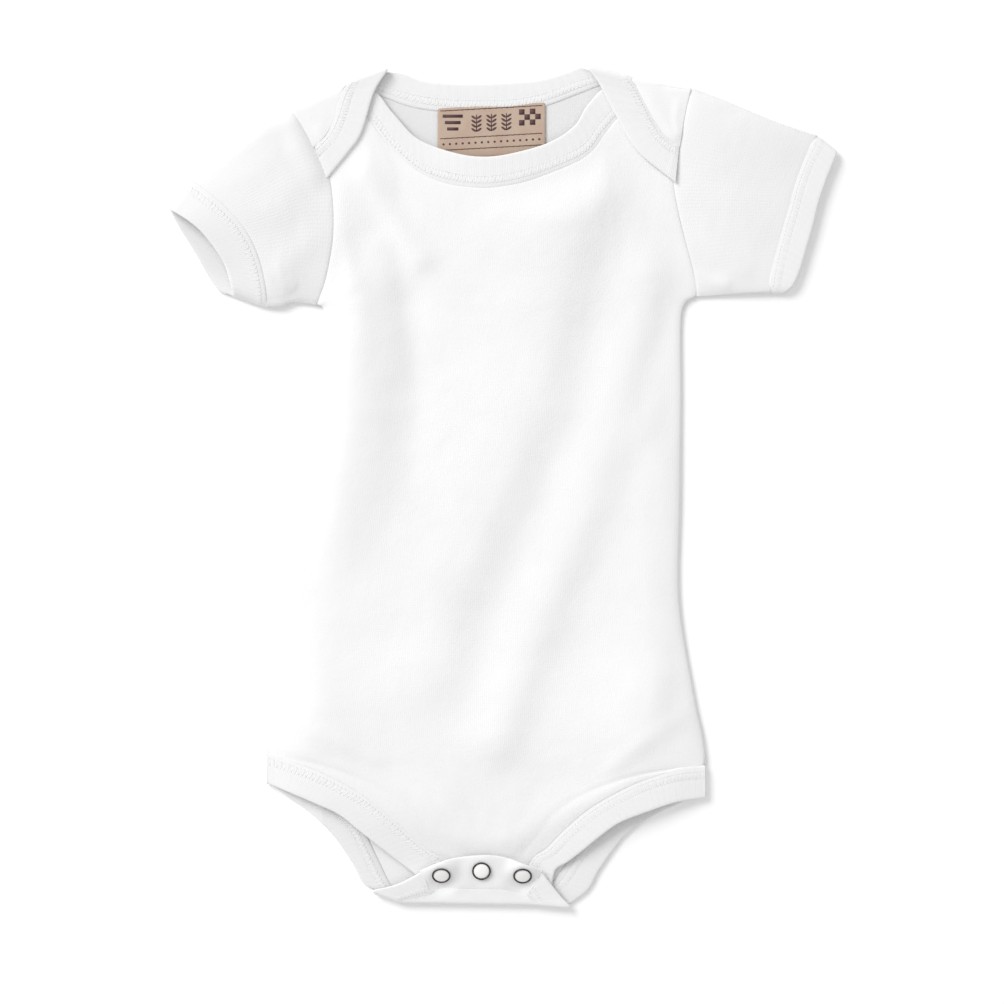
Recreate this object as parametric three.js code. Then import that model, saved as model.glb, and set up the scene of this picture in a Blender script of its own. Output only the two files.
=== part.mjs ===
// Baby bodysuit laid flat on a surface, front up, with its snaps fastened.
// Millimetres. +X is the picture's right, +Y points to the neck, +Z is up and z = 0 is the surface.
import * as THREE from "three";

const clothThickness = 1.2;
const ribThickness = 1.4;
const labelThickness = 0.5;
const seamGap = 0.4;
const cuffGap = 0.7;

// Heights of the middle of each layer above the surface.
const backLevel = clothThickness / 2;
const backRibLevel = ribThickness / 2;
const labelLevel = 1.8;
const seamLevel = 2.1;
const lapLevel = 3.9;
const tabRise = 2.2;

const sleeveFoldRadius = 1.1;
const sleeveLoft = 1.6;
const cuffLoft = 0.8;
const loftLimit = 3.4;
const loftRamp = 26;
const neckRise = { x: -4, y: 158, reach: 52, height: 1.3 };

const bodyWhite = 0xf6f6f7;
const ribWhite = 0xf1f1f3;

// Rows of a table as objects with named columns.
function table(names, rows) {
  const columns = names.split(" ");
  return rows.map((row) => Object.fromEntries(columns.map((name, index) => [name, row[index]])));
}

// Front panel, from the crotch to the armholes: both edges, their heights and the rows up to the next.
const frontOutline = table("leftX leftY leftZ rightX rightY rightZ steps", [
  [-26, -198, 2.2, 12, -198, 2.2, 1],
  [-28.5, -186, 2.2, 14.5, -185.5, 2.2, 1],
  [-36, -181.5, 2.4, 22, -180.5, 2.4, 1],
  [-46, -173, 3.0, 29.5, -172.5, 3.0, 1],
  [-56, -164, 3.6, 39.5, -163.5, 3.6, 1],
  [-67, -155, 4.0, 49.5, -156.5, 4.0, 1],
  [-85, -144.5, 3.8, 68, -147, 3.8, 1],
  [-101, -138, 3.3, 86, -141.5, 3.3, 1],
  [-116, -133.5, 2.9, 100.5, -140, 2.9, 1],
  [-114, -120, 2.3, 101, -126, 2.3, 1],
  [-110, -97, 2.1, 96.5, -104, 2.1, 3],
  [-103.5, -46, 2.1, 89, -56, 2.1, 3],
  [-98.5, 4, 2.1, 89.5, -6, 2.1, 3],
  [-93, 50, 2.1, 90, 44, 2.1, 2],
  [-88.5, 87, 2.1, 90.5, 89, 2.1, 1],
  [-86.5, 105, 2.5, 93.5, 108, 2.5, 1],
  [-84.9, 124, 3.0, 91.5, 126, 3.0, 1],
  [-84.7, 141, 2.8, 88.3, 140, 2.8, 1],
  [-87, 156, 2.2, 86.7, 153, 2.2, 1],
  [-96.3, 174, 2.1, 89.4, 172.5, 2.1, 1],
]);

// Front neck, from the left armhole to the right one: seam of the binding and its free edge.
const frontNeck = table("seamX seamY freeX freeY", [
  [-96.3, 174, -100.2, 183],
  [-80, 186.5, -84, 197],
  [-67, 184.5, -65, 199],
  [-56, 171, -52.5, 188.5],
  [-40, 157.5, -40, 175],
  [-23, 151.7, -22, 166.8],
  [-6, 150.5, -6, 165.2],
  [11, 153.5, 10, 168],
  [28, 159.5, 25, 173],
  [43, 167, 36.5, 181],
  [52.5, 179, 43.5, 192],
  [62, 187.5, 54, 200.5],
  [76, 184, 76, 197],
  [89.4, 172.5, 90.8, 186],
]);

// Back panel, from the crotch fold to the armholes: both edges and the rows up to the next.
const backOutline = table("leftX leftY rightX rightY steps", [
  [-50, -208, 16, -209, 1],
  [-57.5, -197, 27, -197, 1],
  [-64, -184, 36.5, -184, 1],
  [-73, -167, 50, -167, 1],
  [-88, -153, 68, -153.5, 1],
  [-103, -142.5, 88, -145, 1],
  [-116, -133.5, 100.5, -140, 1],
  [-114, -120, 101, -126, 1],
  [-110, -97, 96.5, -104, 2],
  [-103.5, -46, 89, -56, 2],
  [-98.5, 4, 89.5, -6, 2],
  [-93, 50, 90, 44, 2],
  [-88.5, 87, 90.5, 89, 1],
]);

// Armhole seams from the shoulder fold down to the underarm.
const armholes = table("leftX leftY rightX rightY", [
  [-105.5, 190, 95, 200],
  [-103.8, 187, 94.3, 196.7],
  [-98.5, 178, 91.5, 184.5],
  [-94, 169.7, 89, 170],
  [-87, 156, 86.7, 153],
  [-84.7, 141, 88.3, 140],
  [-84.9, 124, 91.5, 126],
  [-88.3, 105, 96, 110],
  [-91.5, 95.5, 98, 99.5],
  [-93, 92, 98.3, 96],
]);

// Back neck between the shoulder folds: seam of the binding and its free edge.
const backNeck = table("seamX seamY freeX freeY", [
  [-77, 204, -58, 210.5],
  [-61, 197.5, -50, 207.5],
  [-45, 192, -40, 204],
  [-28, 189.5, -27, 202.5],
  [-11, 189, -11, 202.3],
  [6, 189.5, 6, 203],
  [22, 192.5, 20, 204.5],
  [37, 198, 32, 208],
  [50, 202.5, 39, 210.3],
  [65, 206, 44, 211.5],
]);

// Shoulder laps from the fold to the point at the armhole: armhole, seam of the binding, free edge.
const leftLap = table("armX armY seamX seamY freeX freeY", [
  [-105.5, 190, -77, 204, -58, 210.5],
  [-103.8, 187, -79.5, 196, -63.5, 197.5],
  [-98.5, 178, -83.5, 184, -70, 177],
  [-96.2, 173.8, -87, 177, -76.5, 167.5],
  [-94, 169.7, -91.5, 170.6, -86.5, 155.5],
]);
const rightLap = table("armX armY seamX seamY freeX freeY", [
  [95, 200, 65, 206, 44, 211.5],
  [94.3, 196.7, 69, 197, 48.5, 202],
  [91.5, 184.5, 75, 185.5, 57, 186],
  [90.2, 177.2, 81, 176.5, 68, 168],
  [89, 170, 86.6, 170, 85, 153.5],
]);

// Free edges of the leg bindings: under the front, round the side corner, on the back and on the tab.
const frontLegEdge = table("leftX leftY rightX rightY", [
  [-38, -200.5, 25, -200.5],
  [-43.5, -193, 27, -191],
  [-51, -187, 33, -187],
  [-61, -179, 40, -181.5],
  [-71, -171, 49, -174],
  [-81, -163, 59, -167],
  [-94, -157, 73, -161.5],
  [-106, -152, 87, -157],
  [-116, -148, 100.5, -155],
]);
const backLegEdge = table("leftX leftY rightX rightY", [
  [-64, -203, 34, -210.5],
  [-69.5, -197.5, 43.5, -201],
  [-74.5, -188, 49.5, -190.5],
  [-84.5, -173.5, 61.5, -174.5],
  [-97, -161.5, 76, -164],
  [-107.5, -154.3, 90, -157.5],
  [-116, -149, 100.5, -155.5],
]);
const tabEdge = table("leftX leftY rightX rightY", [
  [-64, -203, 34, -210.5],
  [-52, -197.7, 29, -203],
  [-39, -191, 19.5, -190.8],
]);
const snapBandEdge = table("lowX lowY highX highY", [
  [-35.6, -203, -38.5, -190.8],
  [-30, -199.8, -30, -186],
  [-20, -199.4, -20, -184],
  [-8, -199.6, -8, -183],
  [2, -200, 3, -184.5],
  [12.2, -202.6, 19, -190.6],
]);

const cuffSeams = table("leftX leftY rightX rightY", [
  [-155.8, 155, 157, 176],
  [-155, 152.3, 156, 173.3],
  [-149.5, 148.5, 152, 165.5],
  [-143, 143.5, 149, 158],
  [-136, 137, 146.3, 150],
  [-130, 130, 143.7, 140],
  [-124.5, 120.5, 140.7, 130],
  [-120.3, 108, 136.7, 115],
  [-118.5, 96, 134.3, 102.3],
  [-118.5, 91, 134, 98],
]);
const cuffFronts = table("leftX leftY rightX rightY", [
  [-166.8, 140.5, 167.8, 167.5],
  [-165, 138.7, 166.8, 165],
  [-160, 135.7, 163, 155.5],
  [-156, 133, 160.3, 148],
  [-151, 129, 158, 140.5],
  [-146.5, 124, 155.6, 130.5],
  [-142, 118, 152.8, 121],
  [-138, 111, 149.5, 109.5],
  [-135, 101, 145.5, 100.8],
  [-134.3, 97, 141, 98],
]);
const cuffBacks = table("leftX leftY rightX rightY", [
  [-166.8, 140.5, 167.8, 167.5],
  [-165.3, 138, 166.8, 165],
  [-161.3, 130.5, 163, 155.5],
  [-157.5, 124.5, 160.3, 148],
  [-153.5, 118, 158, 140.5],
  [-149.5, 111, 155.6, 130.5],
  [-145.5, 104, 152.8, 121],
  [-141.5, 98.7, 149.5, 109.5],
  [-136.5, 96.8, 145.5, 100.8],
  [-134.3, 97, 141, 98],
]);
const sleeveTops = {
  left: [[-105.5, 190], [-115.8, 184], [-125.8, 176.5], [-140.8, 165.5], [-155.8, 155]],
  right: [[95, 200], [114.3, 192.3], [134.3, 184], [157, 176]],
};
const sleeveUnderarms = {
  left: [[-93, 92], [-103, 93], [-111, 90.5], [-118.5, 91]],
  right: [[98.3, 96], [114.3, 97], [134, 98]],
};

// Largest soft folds of the front: crest line, half width and height.
const bodyFolds = table("startX startY endX endY width height", [
  [-76, 118, -82, -20, 17, 3.0],
  [-82, -20, -98, -110, 20, 2.4],
  [42, 128, 12, 30, 26, 3.0],
  [12, 30, -18, -60, 22, 3.2],
  [72, 100, 50, 20, 14, 2.4],
  [50, 20, 12, -70, 17, 3.2],
  [12, -70, -4, -130, 13, 2.4],
  [74, -20, 66, -110, 16, 2.4],
  [-40, 60, -46, -60, 20, 1.6],
  [-62, -60, -70, -125, 16, 1.8],
  [-10, -120, -8, -170, 22, 1.6],
]);
const sleeveFolds = table("startX startY endX endY width height", [
  [-98, 165, -122, 160, 9, 1.6],
  [-92, 130, -124, 118, 12, 1.2],
  [-97, 104, -116, 98, 6, 1.0],
  [98, 165, 140, 160, 12, 1.4],
  [98, 132, 132, 128, 12, 1.2],
]);

const snapRadius = 4.75;
const snapCentres = table("name x y", [
  ["snap_left", -30, -193.2],
  ["snap_middle", -10, -191],
  ["snap_right", 10.5, -193.4],
]);

// A sheet of cloth as stations on its middle surface, each with the way its outer face looks.
class Sheet {
  constructor() {
    this.points = [];
    this.normals = [];
    this.quads = [];
  }

  row(stations) {
    return stations.map(({ point, normal }) => {
      this.points.push(point.clone());
      this.normals.push(normal.clone().normalize());
      return this.points.length - 1;
    });
  }

  join(first, second, closed = false) {
    const count = closed ? first.length : first.length - 1;
    for (let index = 0; index < count; index += 1) {
      const next = (index + 1) % first.length;
      this.quads.push([first[index], first[next], second[next], second[index]]);
    }
  }

  rows(list, closed = false) {
    const made = list.map((stations) => this.row(stations));
    for (let index = 1; index < made.length; index += 1) {
      this.join(made[index - 1], made[index], closed);
    }
    return made;
  }

  // Normals of the middle surface itself, for a tube.
  measureNormals() {
    this.normals = this.points.map(() => new THREE.Vector3());
    for (const [a, b, c, d] of this.quads) {
      const across = this.points[c].clone().sub(this.points[a]);
      const along = this.points[d].clone().sub(this.points[b]);
      const normal = across.cross(along);
      for (const corner of [a, b, c, d]) this.normals[corner].add(normal);
    }
    for (const normal of this.normals) normal.normalize();
  }

  facesItsNormals() {
    let agreement = 0;
    for (const [a, b, c, d] of this.quads) {
      const across = this.points[c].clone().sub(this.points[a]);
      const along = this.points[d].clone().sub(this.points[b]);
      agreement += across.cross(along).dot(this.normals[a]);
    }
    return agreement > 0;
  }

  // The closed wall: the sheet moved out and in by half its thickness, and its rims.
  wall(thickness) {
    const quads = this.facesItsNormals() ? this.quads : this.quads.map((quad) => [...quad].reverse());
    const count = this.points.length;
    const vertices = [];
    for (const side of [0.5, -0.5]) {
      this.points.forEach((point, index) => {
        const moved = point.clone().addScaledVector(this.normals[index], side * thickness);
        vertices.push(moved.x, moved.y, moved.z);
      });
    }
    const faces = [];
    const rims = new Map();
    for (const [a, b, c, d] of quads) {
      faces.push(a, b, c, a, c, d);
      faces.push(a + count, c + count, b + count, a + count, d + count, c + count);
      for (const [from, to] of [[a, b], [b, c], [c, d], [d, a]]) {
        if (!rims.delete(`${to} ${from}`)) rims.set(`${from} ${to}`, [from, to]);
      }
    }
    for (const [from, to] of rims.values()) {
      faces.push(from + count, to + count, to, from + count, to, from);
    }
    const geometry = new THREE.BufferGeometry();
    geometry.setAttribute("position", new THREE.Float32BufferAttribute(vertices, 3));
    geometry.setIndex(faces);
    geometry.computeVertexNormals();
    return geometry;
  }
}

const up = new THREE.Vector3(0, 0, 1);
const down = new THREE.Vector3(0, 0, -1);

function at(x, y, z = 0) {
  return new THREE.Vector3(x, y, z);
}

function station(point, normal = up) {
  return { point, normal };
}

function smoothStep(value) {
  const t = THREE.MathUtils.clamp(value, 0, 1);
  return t * t * (3 - 2 * t);
}

function smoothLine(points) {
  return new THREE.CatmullRomCurve3(points, false, "catmullrom", 0.5);
}

// Points through a table, with as many parts between two rows as the first of them asks for.
function linePoints(rows, toPoint) {
  const line = smoothLine(rows.map(toPoint));
  const points = [];
  rows.slice(0, -1).forEach((row, index) => {
    const steps = row.steps ?? 1;
    for (let step = 0; step < steps; step += 1) {
      points.push(line.getPoint((index + step / steps) / (rows.length - 1)));
    }
  });
  points.push(toPoint(rows[rows.length - 1]));
  return points;
}

// Height that soft folds add at a place: each is a ridge that fades out round its crest line.
function foldHeight(folds, x, y) {
  let total = 0;
  for (const fold of folds) {
    const along = at(fold.endX - fold.startX, fold.endY - fold.startY);
    const offset = at(x - fold.startX, y - fold.startY);
    const share = THREE.MathUtils.clamp(offset.dot(along) / along.lengthSq(), 0, 1);
    const distance = offset.addScaledVector(along, -share).length() / fold.width;
    total += fold.height * Math.exp(-distance * distance);
  }
  return loftLimit * Math.tanh(total / loftLimit);
}

function neckLift(x, y) {
  const distance = Math.hypot(x - neckRise.x, y - neckRise.y) / neckRise.reach;
  return neckRise.height * Math.exp(-distance * distance);
}

// Moves a seam station of a piece across the seam towards the neighbour's free edge.
function acrossSeam(seam, free, distance = seamGap) {
  const way = free.clone().sub(seam);
  way.z = 0;
  return seam.clone().addScaledVector(way.normalize(), distance);
}

// Three stations across a rib band, from its seam to its free edge.
function bandRow(seam, free, normal = up) {
  const start = acrossSeam(seam, free);
  const middle = start.clone().lerp(free, 0.5);
  return [start, middle, free].map((point) => station(point, normal));
}

// Stations of a fold that turns a layer over onto a higher one. The rim reaches the fold line.
function foldRows(edge, outward, low, high, thickness) {
  const radius = (high - low) / 2;
  const reach = radius + thickness / 2;
  const angles = [0, 45, 90, 135, 180].map((degrees) => THREE.MathUtils.degToRad(degrees));
  return angles.map((angle) =>
    edge.map((point) => {
      const normal = outward.clone().multiplyScalar(Math.sin(angle)).add(at(0, 0, -Math.cos(angle)));
      const centre = at(point.x, point.y, low + radius).addScaledVector(outward, -reach);
      return station(centre.addScaledVector(normal, radius), normal);
    }),
  );
}

function outwardOf(first, last) {
  return at(-(last.y - first.y), last.x - first.x).normalize();
}

const frontColumnsPerRow = 2;

function frontPanelRows() {
  const left = linePoints(frontOutline, (row) => at(row.leftX, row.leftY, row.leftZ));
  const right = linePoints(frontOutline, (row) => at(row.rightX, row.rightY, row.rightZ));
  const seam = smoothLine(frontNeck.map((row) => at(row.seamX, row.seamY)));
  const columns = (frontNeck.length - 1) * frontColumnsPerRow;
  const topLeft = left[left.length - 1];
  const topRight = right[right.length - 1];
  const bendStart = 60;
  return left.map((start, index) => {
    const end = right[index];
    const bend = smoothStep((start.y - bendStart) / (topLeft.y - bendStart));
    const row = [];
    for (let column = 0; column <= columns; column += 1) {
      const share = column / columns;
      const point = start.clone().lerp(end, share);
      const top = seam.getPoint(share).sub(topLeft.clone().lerp(topRight, share));
      point.x += top.x * bend;
      point.y += top.y * bend;
      const inset = Math.min(share, 1 - share) * start.distanceTo(end);
      const ramp = 1 - (1 - Math.min(1, inset / loftRamp)) ** 2;
      const neckFade = smoothStep((150 - point.y) / 34);
      const crotchFade = smoothStep((point.y + 184) / 26);
      point.z += foldHeight(bodyFolds, point.x, point.y) * ramp * neckFade * crotchFade;
      point.z += neckLift(point.x, point.y) * ramp;
      row.push(station(point));
    }
    return row;
  });
}

function frontPanel() {
  const sheet = new Sheet();
  sheet.rows(frontPanelRows());
  return sheet.wall(clothThickness);
}

function frontNeckBinding() {
  const rows = frontPanelRows();
  const top = rows[rows.length - 1];
  const free = smoothLine(frontNeck.map((row) => at(row.freeX, row.freeY)));
  const sheet = new Sheet();
  sheet.rows(
    top.map(({ point }, column) => {
      const edge = free.getPoint(column / (top.length - 1));
      const fade = smoothStep(Math.min(column, top.length - 1 - column) / 5);
      edge.z = seamLevel + neckLift(edge.x, edge.y) * fade;
      return bandRow(point, edge);
    }),
  );
  return sheet.wall(ribThickness);
}

const lapColumns = 4;

// Columns of the back panel: left shoulder fold, neck, right shoulder fold.
function backTop() {
  const shoulder = (start, end, offset) => {
    const outward = outwardOf(start, end);
    const points = [];
    for (let column = 0; column <= lapColumns; column += 1) {
      points.push(start.clone().lerp(end, column / lapColumns).addScaledVector(outward, -offset));
    }
    return points;
  };
  const offset = (lapLevel - backLevel) / 2 + clothThickness / 2;
  const leftStart = at(leftLap[0].armX, leftLap[0].armY);
  const leftEnd = at(leftLap[0].seamX, leftLap[0].seamY);
  const rightStart = at(rightLap[0].seamX, rightLap[0].seamY);
  const rightEnd = at(rightLap[0].armX, rightLap[0].armY);
  const neck = backNeck.slice(1, -1).map((row) => at(row.seamX, row.seamY));
  return [...shoulder(leftStart, leftEnd, offset), ...neck, ...shoulder(rightStart, rightEnd, offset)];
}

function backPanelRows() {
  const left = linePoints(backOutline, (row) => at(row.leftX, row.leftY));
  const right = linePoints(backOutline, (row) => at(row.rightX, row.rightY));
  for (const row of armholes.slice(1).reverse()) {
    left.push(at(row.leftX, row.leftY));
    right.push(at(row.rightX, row.rightY));
  }
  const top = backTop();
  const topLeft = top[0];
  const topRight = top[top.length - 1];
  left.push(topLeft);
  right.push(topRight);
  const bendStart = 40;
  return left.map((start, index) => {
    const bend = smoothStep((start.y - bendStart) / (topLeft.y - bendStart));
    return top.map((target, column) => {
      const share = column / (top.length - 1);
      const bendBy = target.clone().sub(topLeft.clone().lerp(topRight, share));
      const point = start.clone().lerp(right[index], share).addScaledVector(bendBy, bend);
      point.z = backLevel;
      return station(point, down);
    });
  });
}

// The way the crotch fold faces, and how far inside it the upper layer starts.
const crotchOutward = at(0, -1);
const foldInset = at(0, (lapLevel - backLevel + clothThickness) / 2);

function tabHeight(y) {
  return lapLevel + tabRise * smoothStep((y + 207) / 22);
}

function crotchFoldEdge(columns) {
  const start = at(backOutline[0].leftX, backOutline[0].leftY);
  const end = at(backOutline[0].rightX, backOutline[0].rightY);
  return Array.from({ length: columns }, (unused, column) => start.clone().lerp(end, column / (columns - 1)));
}

// Rows of the tab's cloth between the leg bindings, from the fold up to the snap band.
function tabRows(columns) {
  const end = smoothLine(snapBandEdge.map((row) => at(row.lowX, row.lowY)));
  return [0.5, 1].map((rise) =>
    crotchFoldEdge(columns).map((fold, column) => {
      const point = fold.add(foldInset).lerp(end.getPoint(column / (columns - 1)), rise);
      point.z = tabHeight(point.y);
      return station(point);
    }),
  );
}

function lapRows(lap, mirrored) {
  return lap.slice(1).map((row) => {
    const stations = [];
    for (let column = 0; column <= lapColumns; column += 1) {
      const point = at(row.armX, row.armY, lapLevel).lerp(at(row.seamX, row.seamY, lapLevel), column / lapColumns);
      stations.push(station(point));
    }
    return mirrored ? stations.reverse() : stations;
  });
}

function addShoulderLap(sheet, topRow, start, end, rows) {
  const folds = foldRows(
    Array.from({ length: lapColumns + 1 }, (unused, column) => start.clone().lerp(end, column / lapColumns)),
    outwardOf(start, end),
    backLevel,
    lapLevel,
    clothThickness,
  ).slice(1);
  const made = sheet.rows([...folds, ...rows]);
  sheet.join(topRow, made[0]);
}

function backPanel() {
  const sheet = new Sheet();
  const rows = backPanelRows();
  const columns = rows[0].length;
  const folds = foldRows(crotchFoldEdge(columns), crotchOutward, backLevel, lapLevel, clothThickness);
  const tab = [...tabRows(columns)].reverse();
  const made = sheet.rows([...tab, ...[...folds].reverse(), ...rows.slice(1)]);
  const top = made[made.length - 1];
  const left = leftLap[0];
  const right = rightLap[0];
  addShoulderLap(
    sheet,
    top.slice(0, lapColumns + 1),
    at(left.armX, left.armY),
    at(left.seamX, left.seamY),
    lapRows(leftLap, false),
  );
  addShoulderLap(
    sheet,
    top.slice(-lapColumns - 1),
    at(right.seamX, right.seamY),
    at(right.armX, right.armY),
    lapRows(rightLap, true),
  );
  return sheet.wall(clothThickness);
}

function backNeckBinding() {
  const lapBand = (lap) =>
    lap.slice(1).map((row) => bandRow(at(row.seamX, row.seamY, lapLevel), at(row.freeX, row.freeY, lapLevel)));
  const foldBand = (row, outward) => {
    const seam = acrossSeam(at(row.seamX, row.seamY), at(row.freeX, row.freeY));
    const free = at(row.freeX, row.freeY);
    const edge = [seam, seam.clone().lerp(free, 0.5), free];
    return foldRows(edge, outward, backRibLevel, lapLevel, ribThickness);
  };
  const level = (row) => [at(row.seamX, row.seamY, backRibLevel), at(row.freeX, row.freeY, backRibLevel)];
  const left = leftLap[0];
  const right = rightLap[0];
  const leftOutward = outwardOf(at(left.seamX, left.seamY), at(left.freeX, left.freeY));
  const rightOutward = outwardOf(at(right.freeX, right.freeY), at(right.seamX, right.seamY));
  const sheet = new Sheet();
  sheet.rows([
    ...lapBand(leftLap).reverse(),
    ...foldBand(left, leftOutward).reverse(),
    ...backNeck.slice(1, -1).map((row) => bandRow(...level(row), down)),
    ...foldBand(right, rightOutward),
    ...lapBand(rightLap),
  ]);
  return sheet.wall(ribThickness);
}

function legBinding(side) {
  const seamX = `${side}X`;
  const seamY = `${side}Y`;
  const sign = side === "left" ? -1 : 1;
  const legRows = frontLegEdge.length;
  const front = frontLegEdge.map((row, index) => {
    const outline = frontOutline[index];
    const seam = at(outline[seamX], outline[seamY], outline[`${side}Z`]);
    return bandRow(seam, at(row[seamX], row[seamY], seam.z));
  });
  const back = backLegEdge.map((row, index) => {
    const outline = backOutline[index];
    const seam = at(outline[seamX], outline[seamY], backRibLevel);
    return bandRow(seam, at(row[seamX], row[seamY], backRibLevel), down);
  });
  const cornerLevel = frontOutline[legRows - 1][`${side}Z`];
  const corner = front[legRows - 1].map(({ point }) => point.clone().add(at(sign * 1.8, 0)));
  const sideFold = foldRows(corner, at(sign, 0), backRibLevel, cornerLevel, ribThickness).reverse();
  const foldSeam = at(backOutline[0][seamX], backOutline[0][seamY]);
  const bandEnd = side === "left" ? snapBandEdge[0] : snapBandEdge[snapBandEdge.length - 1];
  const endSeam = at(bandEnd.lowX, bandEnd.lowY);
  const tabSeams = [foldSeam, foldSeam.clone().add(foldInset).lerp(endSeam, 0.5), endSeam];
  const tab = tabEdge.map((row, index) => bandRow(tabSeams[index], at(row[seamX], row[seamY])));
  const crotchEdge = tab[0].map(({ point }) => point);
  const crotchFold = foldRows(crotchEdge, crotchOutward, backRibLevel, lapLevel, ribThickness);
  const tabBand = tab.slice(1);
  for (const { point } of tabBand.flat()) point.z = tabHeight(point.y);
  for (const { point } of tabBand[tabBand.length - 1]) point.x += sign * seamGap;
  const sheet = new Sheet();
  sheet.rows([
    ...front.slice(0, -1),
    ...sideFold,
    ...back.slice(1, -1).reverse(),
    ...crotchFold,
    ...tabBand,
  ]);
  return sheet.wall(ribThickness);
}

function snapBand() {
  const low = smoothLine(snapBandEdge.map((row) => at(row.lowX, row.lowY)));
  const high = smoothLine(snapBandEdge.map((row) => at(row.highX, row.highY)));
  const steps = backTop().length - 1;
  const sheet = new Sheet();
  const rows = [];
  for (let step = 0; step <= steps; step += 1) {
    const seam = low.getPoint(step / steps);
    const free = high.getPoint(step / steps);
    const start = acrossSeam(seam, free);
    const row = [0, 1 / 3, 2 / 3, 1].map((share) => {
      const point = start.clone().lerp(free, share);
      point.z = tabHeight(point.y);
      return station(point);
    });
    rows.push(row);
  }
  sheet.rows(rows);
  return sheet.wall(ribThickness);
}

// One ring of a flattened sleeve or cuff: over the upper layer and back along the lower one.
function tubeRing(upper, lower, thickness, loft) {
  const bottom = thickness / 2;
  const last = upper.length - 1;
  const top = upper.map((point, index) => {
    const edge = index === 0 || index === last;
    const height = edge ? bottom + sleeveFoldRadius : bottom + 2 * sleeveFoldRadius;
    const swell = Math.sin((Math.PI * index) / last) * loft;
    const folds = edge ? 0 : foldHeight(sleeveFolds, point.x, point.y);
    return at(point.x, point.y, height + swell + folds);
  });
  const under = lower.slice(1, -1).reverse().map((point) => at(point.x, point.y, bottom));
  return [...top, ...under].map((point) => station(point));
}

// The wall of a tube, its normals measured on the tube itself and turned outward.
function tubeWall(rings, thickness) {
  const sheet = new Sheet();
  sheet.rows(rings, true);
  sheet.measureNormals();
  const heights = sheet.points.map((point) => point.z);
  const highest = heights.indexOf(Math.max(...heights));
  if (sheet.normals[highest].z < 0) {
    for (const normal of sheet.normals) normal.negate();
  }
  return sheet.wall(thickness);
}

function sleeveEnds(side) {
  const read = (rows) => rows.map((row) => at(row[`${side}X`], row[`${side}Y`]));
  const seam = read(cuffSeams);
  const front = read(cuffFronts);
  const back = read(cuffBacks);
  const backSeamShare = 0.8;
  const backSeam = seam.map((point, index) =>
    point.clone().addScaledVector(back[index].clone().sub(front[index]), backSeamShare),
  );
  return { armhole: read(armholes), seam, backSeam, front, back };
}

function sleeve(side) {
  const sign = side === "left" ? -1 : 1;
  const { armhole, seam, backSeam } = sleeveEnds(side);
  const start = armhole.map((point) => point.clone().add(at(sign * seamGap, 0)));
  const top = smoothLine(sleeveTops[side].map(([x, y]) => at(x, y)));
  const underarm = smoothLine(sleeveUnderarms[side].map(([x, y]) => at(x, y)));
  const steps = 6;
  const last = start.length - 1;
  const layer = (end, along) => {
    const topShift = top.getPoint(along).sub(armhole[0].clone().lerp(end[0], along));
    const bottomShift = underarm.getPoint(along).sub(armhole[last].clone().lerp(end[last], along));
    return start.map((point, index) =>
      point
        .clone()
        .lerp(end[index], along)
        .addScaledVector(topShift, 1 - index / last)
        .addScaledVector(bottomShift, index / last),
    );
  };
  const rings = [];
  for (let step = 0; step <= steps; step += 1) {
    const along = step / steps;
    const loft = sleeveLoft * (0.4 + 0.6 * Math.sin(Math.PI * along));
    rings.push(tubeRing(layer(seam, along), layer(backSeam, along), clothThickness, loft));
  }
  return tubeWall(rings, clothThickness);
}

function cuff(side) {
  const { seam, backSeam, front, back } = sleeveEnds(side);
  const steps = 3;
  const layer = (from, to, along) =>
    from.map((point, index) => acrossSeam(point, to[index], cuffGap).lerp(to[index], along));
  const rings = [];
  for (let step = 0; step <= steps; step += 1) {
    const along = step / steps;
    rings.push(tubeRing(layer(seam, front, along), layer(backSeam, back, along), ribThickness, cuffLoft));
  }
  return tubeWall(rings, ribThickness);
}

function neckLabel() {
  const corners = { topLeft: at(-32, 190), topRight: at(22, 193), low: at(0, -20.5) };
  const sheet = new Sheet();
  const steps = 4;
  const rows = [0, 0.5, 1].map((drop) => {
    const row = [];
    for (let step = 0; step <= steps; step += 1) {
      const point = corners.topLeft.clone().lerp(corners.topRight, step / steps);
      point.addScaledVector(corners.low, drop);
      point.z = labelLevel;
      row.push(station(point));
    }
    return row;
  });
  sheet.rows(rows);
  return sheet.wall(labelThickness);
}

function snapRing() {
  const profile = [[3.3, 0], [4.6, 0], [snapRadius, 0.4], [4.3, 0.9], [3.7, 0.9], [3.3, 0.4], [3.3, 0]];
  const ring = new THREE.LatheGeometry(profile.map(([x, y]) => new THREE.Vector2(x, y)), 20);
  return ring.rotateX(Math.PI / 2);
}

// The tables measure from a point just off the middle of the garment, and the origin lies under the middle.
const bodysuit = new THREE.Group();
bodysuit.position.set(-0.4, -0.5, 0);

function add(name, geometry, color, roughness = 0.95, metalness = 0) {
  const material = new THREE.MeshStandardMaterial({ color, roughness, metalness });
  const mesh = new THREE.Mesh(geometry, material);
  mesh.name = name;
  bodysuit.add(mesh);
  return mesh;
}

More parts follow.
